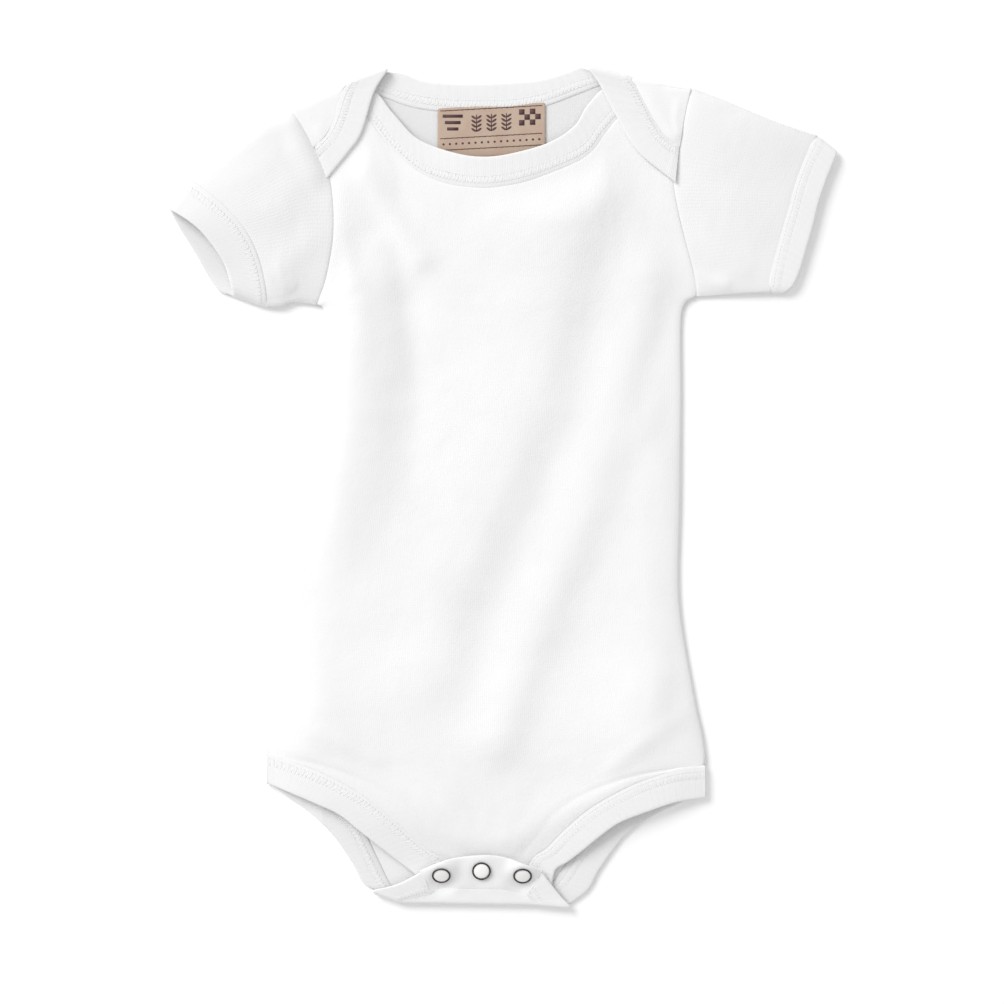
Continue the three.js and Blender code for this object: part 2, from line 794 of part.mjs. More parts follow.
add("back_panel", backPanel(), bodyWhite);
add("front_panel", frontPanel(), bodyWhite);
add("left_sleeve", sleeve("left"), bodyWhite);
add("right_sleeve", sleeve("right"), bodyWhite);
add("left_cuff", cuff("left"), ribWhite);
add("right_cuff", cuff("right"), ribWhite);
add("front_neck_binding", frontNeckBinding(), ribWhite);
add("back_neck_binding", backNeckBinding(), ribWhite);
add("left_leg_binding", legBinding("left"), ribWhite);
add("right_leg_binding", legBinding("right"), ribWhite);
add("snap_band", snapBand(), ribWhite);
add("neck_label", neckLabel(), 0xe9e0d2);
for (const { name, x, y } of snapCentres) {
  const ring = add(name, snapRing(), 0x55585c, 0.4, 0.8);
  const slope = (tabHeight(y + 1) - tabHeight(y - 1)) / 2;
  ring.position.set(x, y, tabHeight(y) + ribThickness / 2 + 0.4);
  ring.rotation.x = Math.atan(slope);
}

export default bodysuit;
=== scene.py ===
import bisect
import math
import bmesh
import bpy
from mathutils import Matrix, Vector, noise


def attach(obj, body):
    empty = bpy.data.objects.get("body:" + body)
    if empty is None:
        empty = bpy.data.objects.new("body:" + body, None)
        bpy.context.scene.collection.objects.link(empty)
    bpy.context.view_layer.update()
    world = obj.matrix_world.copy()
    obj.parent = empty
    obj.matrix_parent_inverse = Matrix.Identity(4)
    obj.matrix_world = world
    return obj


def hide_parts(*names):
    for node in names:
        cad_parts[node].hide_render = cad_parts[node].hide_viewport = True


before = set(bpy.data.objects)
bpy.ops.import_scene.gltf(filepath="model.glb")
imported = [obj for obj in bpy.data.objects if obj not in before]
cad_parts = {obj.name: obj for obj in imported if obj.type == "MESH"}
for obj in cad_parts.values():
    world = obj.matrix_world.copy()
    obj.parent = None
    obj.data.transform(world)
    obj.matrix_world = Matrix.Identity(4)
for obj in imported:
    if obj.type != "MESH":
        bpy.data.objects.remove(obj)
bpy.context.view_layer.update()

# White baby bodysuit laid flat on a table, front up, seen from straight above.
# Tables are in millimetres, as the garment was measured. Everything else in Blender is in metres.
mm = 0.001
up = Vector((0, 0, 1))
down = Vector((0, 0, -1))
garment = {
    "tableShift": (-0.4, -0.5, 0),  # from the tables' zero to the point under the middle
    "clothThickness": 0.95,
    "ribThickness": 1.45,
    "backLevel": 0.6,  # middle of the layer that lies on the table
    "backRibLevel": 1.1,
    "seamLevel": 2.1,
    "shoulderLevel": 5.0,  # middle of what laps over the front
    "lapLevel": 3.9,
    "cuffFold": 1.1,  # half of the rise from a cuff's lower layer to its upper one
    "backSeamShare": 0.8,  # how far a cuff's lower seam follows its lower edge out
}


def at(x, y, z=0.0):
    return Vector((x, y, z))


def smoothStep(value):
    t = min(1.0, max(0.0, value))
    return t * t * (3 - 2 * t)


def between(value, start, end):  # rises softly from 0 at the start to 1 at the end
    return smoothStep((value - start) / (end - start))


class SmoothLine:  # a curve through points, 0 to 1 from the first to the last
    def __init__(self, points):
        self.points = [Vector(p) for p in points]
        self.lengths = [0.0]
        self.fine = 16 * (len(points) - 1)
        before = self.at(0)
        for step in range(1, self.fine + 1):
            here = self.at(step / self.fine)
            self.lengths.append(self.lengths[-1] + (here - before).length)
            before = here

    def at(self, t):
        points = self.points
        last = len(points) - 1
        span = min(int(t * last), last - 1)
        f = t * last - span
        p1, p2 = points[span], points[span + 1]
        p0 = points[span - 1] if span > 0 else p1 * 2 - p2
        p3 = points[span + 2] if span + 2 <= last else p2 * 2 - p1
        return 0.5 * (2 * p1 + (p2 - p0) * f + (2 * p0 - 5 * p1 + 4 * p2 - p3) * f * f
                      + (3 * p1 - p0 - 3 * p2 + p3) * f ** 3)

    def shareAt(self, distance):  # the 0 to 1 place that lies so far along
        spot = bisect.bisect_left(self.lengths, distance)
        if spot <= 0:
            return 0.0
        if spot > self.fine:
            return 1.0
        low, high = self.lengths[spot - 1], self.lengths[spot]
        return (spot - 1 + (distance - low) / max(high - low, 1e-9)) / self.fine


# Shader maths: a socket that takes part in Python expressions.
class Amount:
    def __init__(self, look, socket):
        self.look = look
        self.socket = socket

    def run(self, operation, *others):
        values = {0: self}
        values.update({index + 1: other for index, other in enumerate(others)})
        return self.look.add("ShaderNodeMath", {"operation": operation}, values)

    def clamped(self):
        return self.run("MAXIMUM", 0).run("MINIMUM", 1)

    def __add__(self, other):
        return self.run("ADD", other)

    def __radd__(self, other):
        return self.run("ADD", other)

    def __sub__(self, other):
        return self.run("SUBTRACT", other)

    def __rsub__(self, other):
        return (self * -1) + other

    def __mul__(self, other):
        return self.run("MULTIPLY", other)

    def __rmul__(self, other):
        return self.run("MULTIPLY", other)

    def __truediv__(self, other):
        return self.run("DIVIDE", other)


class Look:  # one material and its nodes
    def __init__(self, name):
        self.material = bpy.data.materials.new(name)
        self.material.use_nodes = True
        self.tree = self.material.node_tree
        self.tree.nodes.clear()

    def add(self, kind, settings=None, values=None, output=0):
        node = self.tree.nodes.new(kind)
        for name, value in (settings or {}).items():
            setattr(node, name, value)
        for name, value in (values or {}).items():
            if isinstance(value, Amount):
                self.tree.links.new(value.socket, node.inputs[name])
            else:
                node.inputs[name].default_value = value
        return Amount(self, node.outputs[output]) if node.outputs else node

    def split(self, vector):
        node = self.add("ShaderNodeSeparateXYZ", None, {0: vector}).socket.node
        return [Amount(self, socket) for socket in node.outputs]

    def noise(self, place, scale, detail):
        return self.add("ShaderNodeTexNoise", None, {"Vector": place, "Scale": scale, "Detail": detail})

    def mix(self, share, first, second):
        return self.add("ShaderNodeMix", {"data_type": "RGBA"}, {0: share, 6: first, 7: second}, output=2)

    def finish(self, color, roughness, height=None, distance=0.0002, strength=1.0, **constants):
        values = {"Base Color": color, "Roughness": roughness}
        values.update({name.replace("_", " "): value for name, value in constants.items()})
        if height is not None:
            values["Normal"] = self.add("ShaderNodeBump", None,
                                        {"Strength": strength, "Distance": distance, "Height": height})
        shader = self.add("ShaderNodeBsdfPrincipled", None, values)
        self.add("ShaderNodeOutputMaterial", None, {"Surface": shader})
        return self.material


knit = {
    "color": (0.885, 0.885, 0.885, 1), "shadeColor": (0.85, 0.85, 0.852, 1),
    # painted shade: the first colour on the next line darkens the cloth seen inside the openings
    "paintedShadeColor": (0.76, 0.76, 0.765, 1), "sleevePaintedShade": 0.955, "wale": 0.0009, "course": 0.0008,
    "loopTilt": 1.1, "fibreScale": 1500.0, "pillScale": 420.0, "cloudScale": 38.0, "roughness": 0.87,
    "bump": 0.0002, "fuzz": 0.12,
}
rib = {
    "color": (0.855, 0.855, 0.855, 1), "shadeColor": (0.825, 0.825, 0.827, 1),
    # painted shade: the first colour on the next line darkens the rib seen inside the openings
    "paintedShadeColor": (0.72, 0.72, 0.725, 1), "course": 0.0009, "fibreScale": 2400.0, "cloudScale": 60.0,
    "roughness": 0.85, "bump": 0.00008, "fuzz": 0.1,
}
# Painted shade where the garment's lower layer shows in its openings: its colour is darkened there.
paintedInsideShade = {
    "level": 0.002, "levelGain": 4000, "facingGain": 3, "neckFrom": 0.1, "neckGain": 100,
    "cuffFrom": 0.11, "legsBelow": -0.1, "legsWithin": 0.09, "legShare": 0.7, "elsewhere": 0.35,
}


def dimmed(color, tone):
    return tuple(channel * tone for channel in color[:3]) + (1,)


def paintedShadeShare(look, isRib):  # 0 to 1: how much painted shade falls on the cloth's inner face where it is seen in the openings
    x, y, z = look.split(look.add("ShaderNodeTexCoord", output="Object"))
    facing = look.split(look.add("ShaderNodeTexCoord", output="Normal"))[2]
    low = (facing * paintedInsideShade["facingGain"]).clamped() * ((paintedInsideShade["level"] - z) * paintedInsideShade["levelGain"]).clamped()
    high = ((y - paintedInsideShade["neckFrom"]) * paintedInsideShade["neckGain"]).clamped()
    if isRib:  # in the cuffs and the leg openings
        out = x.run("ABSOLUTE")
        legs = y.run("LESS_THAN", paintedInsideShade["legsBelow"]) * out.run("LESS_THAN", paintedInsideShade["legsWithin"])
        return low * (high * out.run("GREATER_THAN", paintedInsideShade["cuffFrom"]) + legs * paintedInsideShade["legShare"])
    return low * (high * (1 - paintedInsideShade["elsewhere"]) + paintedInsideShade["elsewhere"])


def bodyKnitLook(name, tone):  # interlock: fine wales, each a column of small loops
    look = Look(name)
    uv = look.add("ShaderNodeTexCoord", output="UV")
    u, v, unused = look.split(uv)
    wale = u / knit["wale"]
    tilt = wale.run("PINGPONG", 0.5)
    loop = ((v / knit["course"] + tilt * knit["loopTilt"]) * 2 * math.pi).run("SINE")
    column = (wale * 2 * math.pi).run("COSINE")
    fibre = look.noise(uv, knit["fibreScale"], 4.0)
    pill = look.noise(uv, knit["pillScale"], 2.0)
    height = column * 0.1 + loop * 0.12 + fibre * 0.9 + pill * 0.7
    cloudy = (look.noise(uv, knit["cloudScale"], 4.0) - 0.3) * 1.6
    color = look.mix(cloudy, dimmed(knit["shadeColor"], tone), dimmed(knit["color"], tone))
    # painted shade: the lower layer's inner face is darkened where it shows in the openings
    color = look.mix(paintedShadeShare(look, False), color, knit["paintedShadeColor"])
    return look.finish(color, fibre * 0.1 + knit["roughness"], height, knit["bump"], 0.6,
                       Sheen_Weight=knit["fuzz"], Sheen_Roughness=0.5)


def ribKnitLook():  # the ribs themselves are in the mesh, so this adds their rows of loops
    look = Look("ribKnit")
    uv = look.add("ShaderNodeTexCoord", output="UV")
    u, v, unused = look.split(uv)
    loop = (v / rib["course"] * 2 * math.pi).run("SINE")
    fibre = look.noise(uv, rib["fibreScale"], 3.0)
    cloudy = (look.noise(uv, rib["cloudScale"], 3.0) - 0.3) * 1.6
    color = look.mix(cloudy, rib["shadeColor"], rib["color"])
    # painted shade: the rib's lower layer is darkened where it shows in the cuffs and leg openings
    color = look.mix(paintedShadeShare(look, True), color, rib["paintedShadeColor"])
    return look.finish(color, fibre * 0.1 + rib["roughness"], loop * 0.4 + fibre * 0.8, rib["bump"], 0.6,
                       Sheen_Weight=rib["fuzz"], Sheen_Roughness=0.5)


thread = {"dark": (0.84, 0.84, 0.85, 1), "light": (0.88, 0.88, 0.89, 1), "twistScale": 900.0}


def threadLook():
    look = Look("sewingThread")
    place = look.add("ShaderNodeTexCoord", output="Object")
    twist = look.add("ShaderNodeTexWave", {"bands_direction": "DIAGONAL"},
                     {"Vector": place, "Scale": thread["twistScale"], "Distortion": 1.5})
    return look.finish(look.mix(twist, thread["dark"], thread["light"]), 0.6, twist, 0.00005, 0.5)


label = {
    "color": (0.56, 0.45, 0.35, 1), "edge": (0.5, 0.36, 0.28, 1), "pick": 0.00045,
    "ink": (0.055, 0.022, 0.026, 1), "inkLight": (0.12, 0.06, 0.06, 1), "inkScale": 2200.0,
}


def labelLook():  # satin weave of flat beige yarn, pinker in patches
    look = Look("labelWeave")
    uv = look.add("ShaderNodeTexCoord", output="UV")
    u, v, unused = look.split(uv)
    weft = (v / label["pick"] * 2 * math.pi).run("SINE")
    warp = (u / label["pick"] * 2 * math.pi).run("SINE")
    cloudy = (look.noise(uv, 90.0, 2.0) - 0.35) * 1.8
    color = look.mix(cloudy, label["edge"], label["color"])
    return look.finish(color, 0.65, weft * 0.5 + warp * 0.2, 0.00006, 0.7)


def inkLook():
    look = Look("labelThread")
    weave = look.noise(look.add("ShaderNodeTexCoord", output="Object"), label["inkScale"], 2.0)
    return look.finish(look.mix(weave, label["ink"], label["inkLight"]), 0.7, weave, 0.00004, 0.6)


metal = {
    "dark": (0.04, 0.03, 0.03, 1), "light": (0.16, 0.13, 0.13, 1), "wearScale": 700.0,
    "capDark": (0.92, 0.91, 0.9, 1), "capLight": (0.95, 0.94, 0.93, 1), "capScale": 900.0,
    "bump": 0.00002,
}


def snapMetalLook():
    look = Look("snapMetal")
    wear = look.noise(look.add("ShaderNodeTexCoord", output="Object"), metal["wearScale"], 4.0)
    color = look.mix((wear - 0.4) * 2.0, metal["dark"], metal["light"])
    return look.finish(color, wear * 0.2 + 0.14, wear, metal["bump"], 0.3, Metallic=0.85)


def snapCapLook():
    look = Look("snapCap")
    grain = look.noise(look.add("ShaderNodeTexCoord", output="Object"), metal["capScale"], 2.0)
    color = look.mix(grain, metal["capDark"], metal["capLight"])
    return look.finish(color, grain * 0.15 + 0.35, grain, metal["bump"], 0.3)


looks = {
    "body": bodyKnitLook("bodyKnit", 1.0),
    # painted shade: the sleeves get the same knit, with its colours darkened throughout
    "sleeve": bodyKnitLook("sleeveKnitPaintedShade", knit["sleevePaintedShade"]),
    "rib": ribKnitLook(),
    "thread": threadLook(),
    "label": labelLook(),
    "ink": inkLook(),
    "snap": snapMetalLook(),
    "cap": snapCapLook(),
}
print("materials made")


def addLattice(bm, rows, closed=False):  # a grid whose corners take the places in rows, row by row
    if closed:
        rows = [row + row[:1] for row in rows]
    across, along = len(rows[0]), len(rows)
    uv = bm.loops.layers.uv.verify()
    made = bmesh.ops.create_grid(bm, x_segments=across - 1, y_segments=along - 1, size=1)["verts"]
    middleRow, middleColumn = rows[along // 2], [row[across // 2] for row in rows]
    reach = [sum((b - a).length for a, b in zip(line, line[1:])) * mm for line in (middleRow, middleColumn)]
    spots = {}
    for vert in made:
        u, v = (vert.co.x + 1) / 2, (vert.co.y + 1) / 2
        spots[vert] = (u * reach[0], v * reach[1])
        vert.co = rows[round(v * (along - 1))][round(u * (across - 1))]
    for face in {face for vert in made for face in vert.link_faces}:
        for loop in face.loops:
            loop[uv].uv = spots[loop.vert]


def toMetres(bm):
    for vert in bm.verts:
        vert.co = (vert.co + Vector(garment["tableShift"])) * mm


weldGap = 1e-4


def finishPiece(name, bm, look, nodes=(), shell=None, rounds=0):
    bmesh.ops.remove_doubles(bm, verts=bm.verts, dist=weldGap)
    bmesh.ops.recalc_face_normals(bm, faces=bm.faces)
    toMetres(bm)
    for face in bm.faces:
        face.smooth = True
    mesh = bpy.data.meshes.new(name)
    bm.to_mesh(mesh)
    bm.free()
    piece = bpy.data.objects.new(name, mesh)
    bpy.context.collection.objects.link(piece)
    mesh.materials.append(looks[look])
    if shell:
        wall = piece.modifiers.new("wall", "SOLIDIFY")
        wall.thickness = shell * mm
        wall.offset = 0
    if rounds:
        soft = piece.modifiers.new("soft", "SUBSURF")
        soft.levels = soft.render_levels = rounds
    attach(piece, "root")
    if nodes:
        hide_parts(*nodes)
    print("made", name)
    return piece


# The garment's lines, measured in the photo. Left and right are the picture's.
frontOutline = [  # left x, y, height, right x, y, height, rows up to the next
    (-26, -198, 2.4, 12, -198, 2.4, 3),
    (-28.5, -186, 3.0, 14.5, -185.5, 3.0, 2),
    (-36, -181.5, 3.5, 22, -180.5, 3.5, 3),
    (-46, -173, 4.7, 29.5, -172.5, 4.7, 3),
    (-56, -164, 5.8, 39.5, -163.5, 5.8, 3),
    (-67, -155, 6.2, 49.5, -156.5, 6.2, 3),
    (-85, -144.5, 6.0, 68, -147, 6.0, 3),
    (-101, -138, 5.0, 86, -141.5, 5.0, 3),
    (-116, -133.5, 3.1, 100.5, -140, 3.1, 5),
    (-114, -120, 2.3, 101, -126, 2.3, 8),
    (-110, -97, 2.1, 96.5, -104, 2.1, 17),
    (-103.5, -46, 2.1, 89, -56, 2.1, 16),
    (-98.5, 4, 2.1, 89.5, -6, 2.1, 16),
    (-93, 50, 2.1, 90, 44, 2.1, 12),
    (-88.5, 87, 2.3, 90.5, 89, 2.1, 4),
    (-92.7, 92.6, 2.3, 98.2, 96.6, 2.1, 4),
    (-88.3, 105, 4.5, 95.9, 110, 2.6, 6),
    (-84.9, 124, 5.4, 91.5, 126, 3.2, 5),
    (-84.7, 141, 5.0, 88.3, 140, 3.0, 5),
    (-87, 156, 3.9, 86.7, 153, 3.0, 6),
    (-96.3, 174, 3.2, 89.4, 172.5, 2.6, 0),
]
frontNeck = [  # seam x, y, free edge x, y
    (-96.3, 174, -100.2, 183), (-80, 186.5, -84, 197), (-67, 184.5, -65, 199), (-56, 171, -54.2, 187.4),
    (-40, 157.5, -41.5, 174.2), (-23, 151.7, -22, 166.8), (-6, 150.5, -6, 165.2), (11, 153.5, 10, 168),
    (28, 159.5, 25, 173), (43, 167, 36.5, 181), (52.5, 179, 43.5, 192), (62, 187.5, 54, 200.5),
    (76, 184, 76, 197), (89.4, 172.5, 90.8, 186),
]
backOutline = [  # left x, y, right x, y, rows up to the next
    (-50, -208, 16, -209, 4),
    (-57.5, -197, 27, -197, 4),
    (-64, -184, 36.5, -184, 5),
    (-73, -167, 50, -167, 4),
    (-88, -153, 68, -153.5, 4),
    (-103, -142.5, 88, -145, 4),
]
for row, count in zip(frontOutline[8:15], (4, 6, 12, 12, 12, 9, 1)):  # its sides are the front's
    backOutline.append((row[0], row[1], row[3], row[4], count))
armholes = [  # left x, y, right x, y, from the shoulder fold down
    (-105.5, 190, 95, 200), (-103.8, 187, 94.3, 196.7), (-98.5, 178, 91.5, 184.5),
    (-94, 169.7, 89, 170), (-87, 156, 86.7, 153), (-84.7, 141, 88.3, 140), (-84.9, 124, 91.5, 126),
    (-88.3, 105, 96, 110), (-91.5, 95.5, 98, 99.5), (-93, 92, 98.3, 96),
]
backNeck = [  # seam x, y, free edge x, y
    (-77, 204, -58, 210.5), (-61, 197.5, -50, 207.5), (-45, 192, -40, 204), (-28, 189.5, -27, 202.5),
    (-11, 189, -11, 202.3), (6, 189.5, 6, 203), (22, 192.5, 20, 204.5), (37, 198, 32, 208),
    (50, 202.5, 39, 210.3), (65, 206, 44, 211.5),
]
laps = {  # armhole x, y, seam x, y, free edge x, y, from the shoulder fold to the point
    "left": [
        (-105.5, 190, -77, 204, -58, 210.5), (-103.8, 187, -79.5, 196, -63.5, 197.5),
        (-98.5, 178, -83.5, 184, -70, 177), (-96.2, 173.8, -87, 177, -76.5, 167.5),
        (-94, 169.7, -93.3, 170.2, -87.2, 154.4),
    ],
    "right": [
        (95, 200, 65, 206, 44, 211.5), (94.3, 196.7, 69, 197, 48.5, 202),
        (91.5, 184.5, 75, 185.5, 57, 186), (90.2, 177.2, 81, 176.5, 68, 168),
        (89, 170, 88.7, 170.6, 86.9, 152.4),
    ],
}
frontLegEdge = [  # left x, y, right x, y
    (-38, -200.5, 25, -200.5), (-43.5, -193, 27, -191), (-51, -187, 33, -187), (-61, -179, 40, -181.5),
    (-71, -171, 49, -174), (-81, -163, 59, -167), (-94, -157, 73, -161.5), (-106, -152, 87, -157),
    (-116, -148, 100.5, -155),
]
backLegEdge = [  # left x, y, right x, y
    (-64, -203, 34, -210.5), (-69.5, -197.5, 43.5, -201), (-74.5, -188, 49.5, -190.5),
    (-84.5, -173.5, 61.5, -174.5), (-97, -161.5, 76, -164), (-107.5, -154.3, 90, -157.5),
    (-116, -149, 100.5, -155.5),
]
tabEdge = [  # left x, y, right x, y
    (-64, -203, 34, -210.5), (-52, -197.7, 29, -203), (-39, -191, 19.5, -190.8),
]
snapBandEdge = [  # lower x, y, upper x, y
    (-35.6, -203, -38.5, -190.8), (-30, -199.8, -30, -186), (-20, -199.4, -20, -184),
    (-8, -199.6, -8, -183), (2, -200, 3, -184.5), (12.2, -202.6, 19, -190.6),
]
cuffs = {  # seam x, y, front edge x, y, back edge x, y if it differs, from the top fold to the underarm
    "left": [
        (-155.8, 155, -166.8, 140.5, -166.8, 140.5), (-155, 152.3, -165, 138.7, -165.3, 138),
        (-149.5, 148.5, -160, 135.7, -161.3, 130.5), (-143, 143.5, -156, 133, -157.5, 124.5),
        (-136, 137, -151, 129, -153.5, 118), (-130, 130, -146.5, 124, -149.5, 111),
        (-124.5, 120.5, -142, 118, -145.5, 104), (-120.3, 108, -138, 111, -141.5, 98.7),
        (-118.5, 96, -135, 101, -136.5, 96.8), (-118.5, 91, -134.3, 97, -134.3, 97),
    ],
    "right": [
        (157, 176, 167.8, 167.5), (156, 173.3, 166.8, 165), (152, 165.5, 163, 155.5),
        (149, 158, 160.3, 148), (146.3, 150, 158, 140.5), (143.7, 140, 155.6, 130.5),
        (140.7, 130, 152.8, 121), (136.7, 115, 149.5, 109.5), (134.3, 102.3, 145.5, 100.8),
        (134, 98, 141, 98),
    ],
}
sleeveEdges = {
    "left": {
        "top": [(-105.5, 190), (-115.8, 184), (-125.8, 176.5), (-140.8, 165.5), (-155.8, 155)],
        "under": [(-93, 92), (-103, 93), (-111, 90.5), (-118.5, 91)],
    },
    "right": {
        "top": [(95, 200), (114.3, 192.3), (134.3, 184), (157, 176)],
        "under": [(98.3, 96), (114.3, 97), (134, 98)],
    },
}

# Soft folds: the crest's line, its width on the picture's left and right, and its height.
bodyFolds = [
    ([(-58, 142), (-54, 118), (-50, 96)], 15, 12, -1.1),
    ([(-78, 90), (-76, 64), (-75, 46)], 15, 19, 2.6),
    ([(-78, 88), (-75, 40), (-78, 14)], 16, 20, 2.8),
    ([(-78, 90), (-75, 36), (-84, -16)], 17, 20, 2.4),
    ([(-80, 4), (-88, -36), (-93, -60), (-98, -100)], 15, 38, 2.8),
    ([(-47, 96), (-44, 66), (-43, 38), (-47, 10)], 11, 8, -0.6),
    ([(38, 148), (33, 126), (24, 94), (17, 44), (4, 19), (-6, -6), (-16, -31), (-28, -56), (-33, -84)],
     36, 17, 4.0),
    ([(36, 144), (34, 126), (29, 104)], 20, 30, 1.8),
    ([(73, 104), (70, 90), (61, 54), (51, 19), (43, -6), (33, -31), (23, -56), (13, -81), (5, -106),
      (-2, -126)], 17, 12.5, 2.8),
    ([(88, 70), (82, 50), (70, 30)], 8, 9, 0.9),
    ([(86, 14), (86, -40), (80, -90), (68, -122)], 24, 12, 2.4),
    ([(-96, -84), (-92, -104), (-84, -122)], 14, 16, 0.9),
    ([(-34, -100), (-30, -128), (-34, -150)], 20, 22, 1.0),
    ([(-74, 164), (-64, 150), (-52, 130), (-42, 114)], 5, 8, 1.9),
    ([(-83, 150), (-80, 128), (-75, 100)], 3, 4, 1.1),
    ([(-60, 120), (-56, 96), (-54, 60)], 8, 7, 0.8),
    ([(-104, -118), (-82, -126), (-62, -136)], 4, 5, 0.6),
    ([(92, -112), (72, -126), (56, -138)], 4, 5, 0.6),
]
sleeveFolds = [
    ([(-101, 182), (-97, 170), (-90.5, 158)], 7, 2.2, 4.6),
    ([(-104, 150), (-118, 138), (-130, 136)], 8, 9, 0.9),
    ([(-93, 124), (-104, 116), (-114, 107)], 6, 8, 0.7),
    ([(-104, 96.2), (-110, 94.8), (-116, 94.4)], 1.2, 1.5, -0.4),
    ([(-113, 103), (-110, 99), (-106, 97)], 1.5, 1.8, -0.4),
    ([(-112, 110), (-109, 104), (-104, 101)], 1.8, 2.2, 0.6),
    ([(98, 186), (114, 180), (138, 172)], 9, 12, 0.8),
    ([(94, 150), (112, 142), (128, 128)], 9, 11, 0.9),
    ([(98, 122), (108, 116), (120, 108)], 6, 7, 0.9),
    ([(98, 106), (104, 103), (112, 102)], 3, 3.5, 0.9),
]
backFolds = [
    ([(-58, 150), (-50, 110), (-38, 66), (-30, 20)], 9, 12, 0.8),
    ([(52, 150), (44, 104), (22, 60), (8, 8), (0, -40)], 12, 8, 0.9),
    ([(-64, 30), (-56, -16), (-60, -62)], 10, 7, 0.7),
    ([(62, 40), (56, -14), (40, -62), (30, -104)], 8, 11, 0.8),
    ([(-40, -70), (-22, -112), (-18, -150)], 9, 9, 0.6),
    ([(8, 140), (0, 112), (4, 84)], 7, 8, 0.5),
]
lapFolds = [
    ([(70, 200), (78, 188), (86, 176)], 2.6, 4, 0.7),
    ([(88, 192), (87, 184), (88, 178)], 2, 2.4, 0.4),
    ([(-98, 190), (-92, 184), (-90, 178)], 4, 5, 0.45),
]
shape = {
    "loftLimit": 7.2, "neckX": -4, "neckY": 158, "neckReach": 50, "neckHeight": 5.2, "sleeveLoft": 1.5,
    "cuffLoft": {"left": 4.9, "right": 0.5}, "tabRise": 2.4,
    "tabSlope": (-207, -185),  # the tab rises from this y to that one
    "crumple": 0.13,
}


def foldHeight(folds, x, y):
    total = 0.0
    for line, leftWidth, rightWidth, height in folds:
        nearest = None
        for (startX, startY), (endX, endY) in zip(line, line[1:]):
            alongX, alongY = endX - startX, endY - startY
            share = ((x - startX) * alongX + (y - startY) * alongY) / (alongX * alongX + alongY * alongY)
            share = min(1.0, max(0.0, share))
            away = math.hypot(x - startX - alongX * share, y - startY - alongY * share)
            if nearest is None or away < nearest[0]:
                side = alongX * (y - startY) - alongY * (x - startX)
                nearest = (away, side, math.hypot(alongX, alongY))
        away, side, length = nearest
        lean = side / length / max(away, 1e-6)
        width = (leftWidth + rightWidth) / 2 + lean * (rightWidth - leftWidth) / 2
        if away < 3 * width:
            total += height * math.exp(-(away / width) ** 2)
    return shape["loftLimit"] * math.tanh(total / shape["loftLimit"])


visibleTop = [(-110, 140), (-88, 153), (-76, 163), (-66, 178), (-56, 171), (-40, 157.5), (-23, 151.7),
              (-6, 150.5), (11, 153.5), (28, 159.5), (43, 167), (53, 176), (62, 176), (69, 166), (86, 150),
              (110, 140)]
fade = {"gap": 1, "reach": 16, "widest": 40, "widening": 0.4}  # longer towards the right


def foldFade(x, y):  # folds die out at the neck binding and at the shoulder laps
    for (lowX, lowY), (highX, highY) in zip(visibleTop, visibleTop[1:]):
        if lowX <= x <= highX:
            top = lowY + (highY - lowY) * (x - lowX) / (highX - lowX)
            reach = fade["reach"] + min(max(x, 0), fade["widest"]) * fade["widening"]
            return smoothStep((top - fade["gap"] - y) / reach)
    return 0.0


def crumple(point):  # small unevenness of washed cotton
    broad = noise.noise(point * 0.06)
    fine = noise.noise(point * 0.19 + at(7, 3, 1))
    return shape["crumple"] * (1.6 * broad + fine)


def neckLift(x, y):
    away = math.hypot(x - shape["neckX"], y - shape["neckY"]) / shape["neckReach"]
    return shape["neckHeight"] * math.exp(-away * away)


def tabHeight(y):
    return garment["lapLevel"] + shape["tabRise"] * between(y, *shape["tabSlope"])


snap = {
    "ring": 4.3, "wire": 0.4, "lift": 0.1, "above": 0.3, "cap": 3.9, "capRise": 0.7, "pucker": 8.0,
    "pivot": 1.6,
    "give": 0.12,  # the cloth leans a little less than the snap
}
snaps = {  # node, x, y, how far it leans
    "snapLeft": ("snap_left", -30, -193.2, 34),
    "snapMiddle": ("snap_middle", -10, -191, 14),
    "snapRight": ("snap_right", 10.5, -193.4, 33),
}


def puckerHeight(x, y):  # the stiff snaps tilt the cloth of the tab round them
    total = 0.0
    for node, snapX, snapY, lean in snaps.values():
        reach = math.hypot(x - snapX, y - snapY) / snap["pucker"]
        if reach < 2:
            slope = math.tan(math.radians(lean)) - snap["give"]
            total += slope * (y - snapY + snap["pivot"]) * math.exp(-reach ** 4)
    return total


def tablePoints(rows, toPoint):  # points through a table, with the last column's number of rows between
    line = SmoothLine([toPoint(row) for row in rows])
    points = []
    for index, row in enumerate(rows[:-1]):
        points += [line.at((index + step / row[-1]) / (len(rows) - 1)) for step in range(row[-1])]
    points.append(line.at(1.0))
    return points


def outwardOf(first, last):
    return at(first.y - last.y, last.x - first.x).normalized()


def foldRows(edge, outward, low, high, thickness):  # half a turn round an edge, from low to high
    radius = (high - low) / 2
    inward = outward * -(radius + thickness / 2)
    rows = []
    for degrees in range(0, 181, 30):
        angle = math.radians(degrees)
        normal = outward * math.sin(angle) - up * math.cos(angle)
        rows.append([(at(p.x, p.y, low + radius) + inward + normal * radius, normal) for p in edge])
    return rows


front = {
    "columns": 78,
    "bendFrom": 60,  # above this y the rows bend to the neck
    "evenings": 14, "sideHold": 7, "loftRamp": 24, "legReach": 26,
    "chestSlope": (80, 110),  # between these the sides get rounder
    "chestBow": 0.7, "seatRise": 3.0, "seatSlope": (-70, -130), "seatShare": 0.25, "tabX": -9,
    "tabBreadth": 1400, "tabStep": (190, 16), "tabStepBeside": (10, 18), "foldSlope": (-184, -158),
    "crumpleInset": 12, "dipInset": 3, "dip": 0.3, "dipAtSleeve": 0.35, "sleeveSlope": (104, 96),
    "dipSlope": (-140, -128),
}


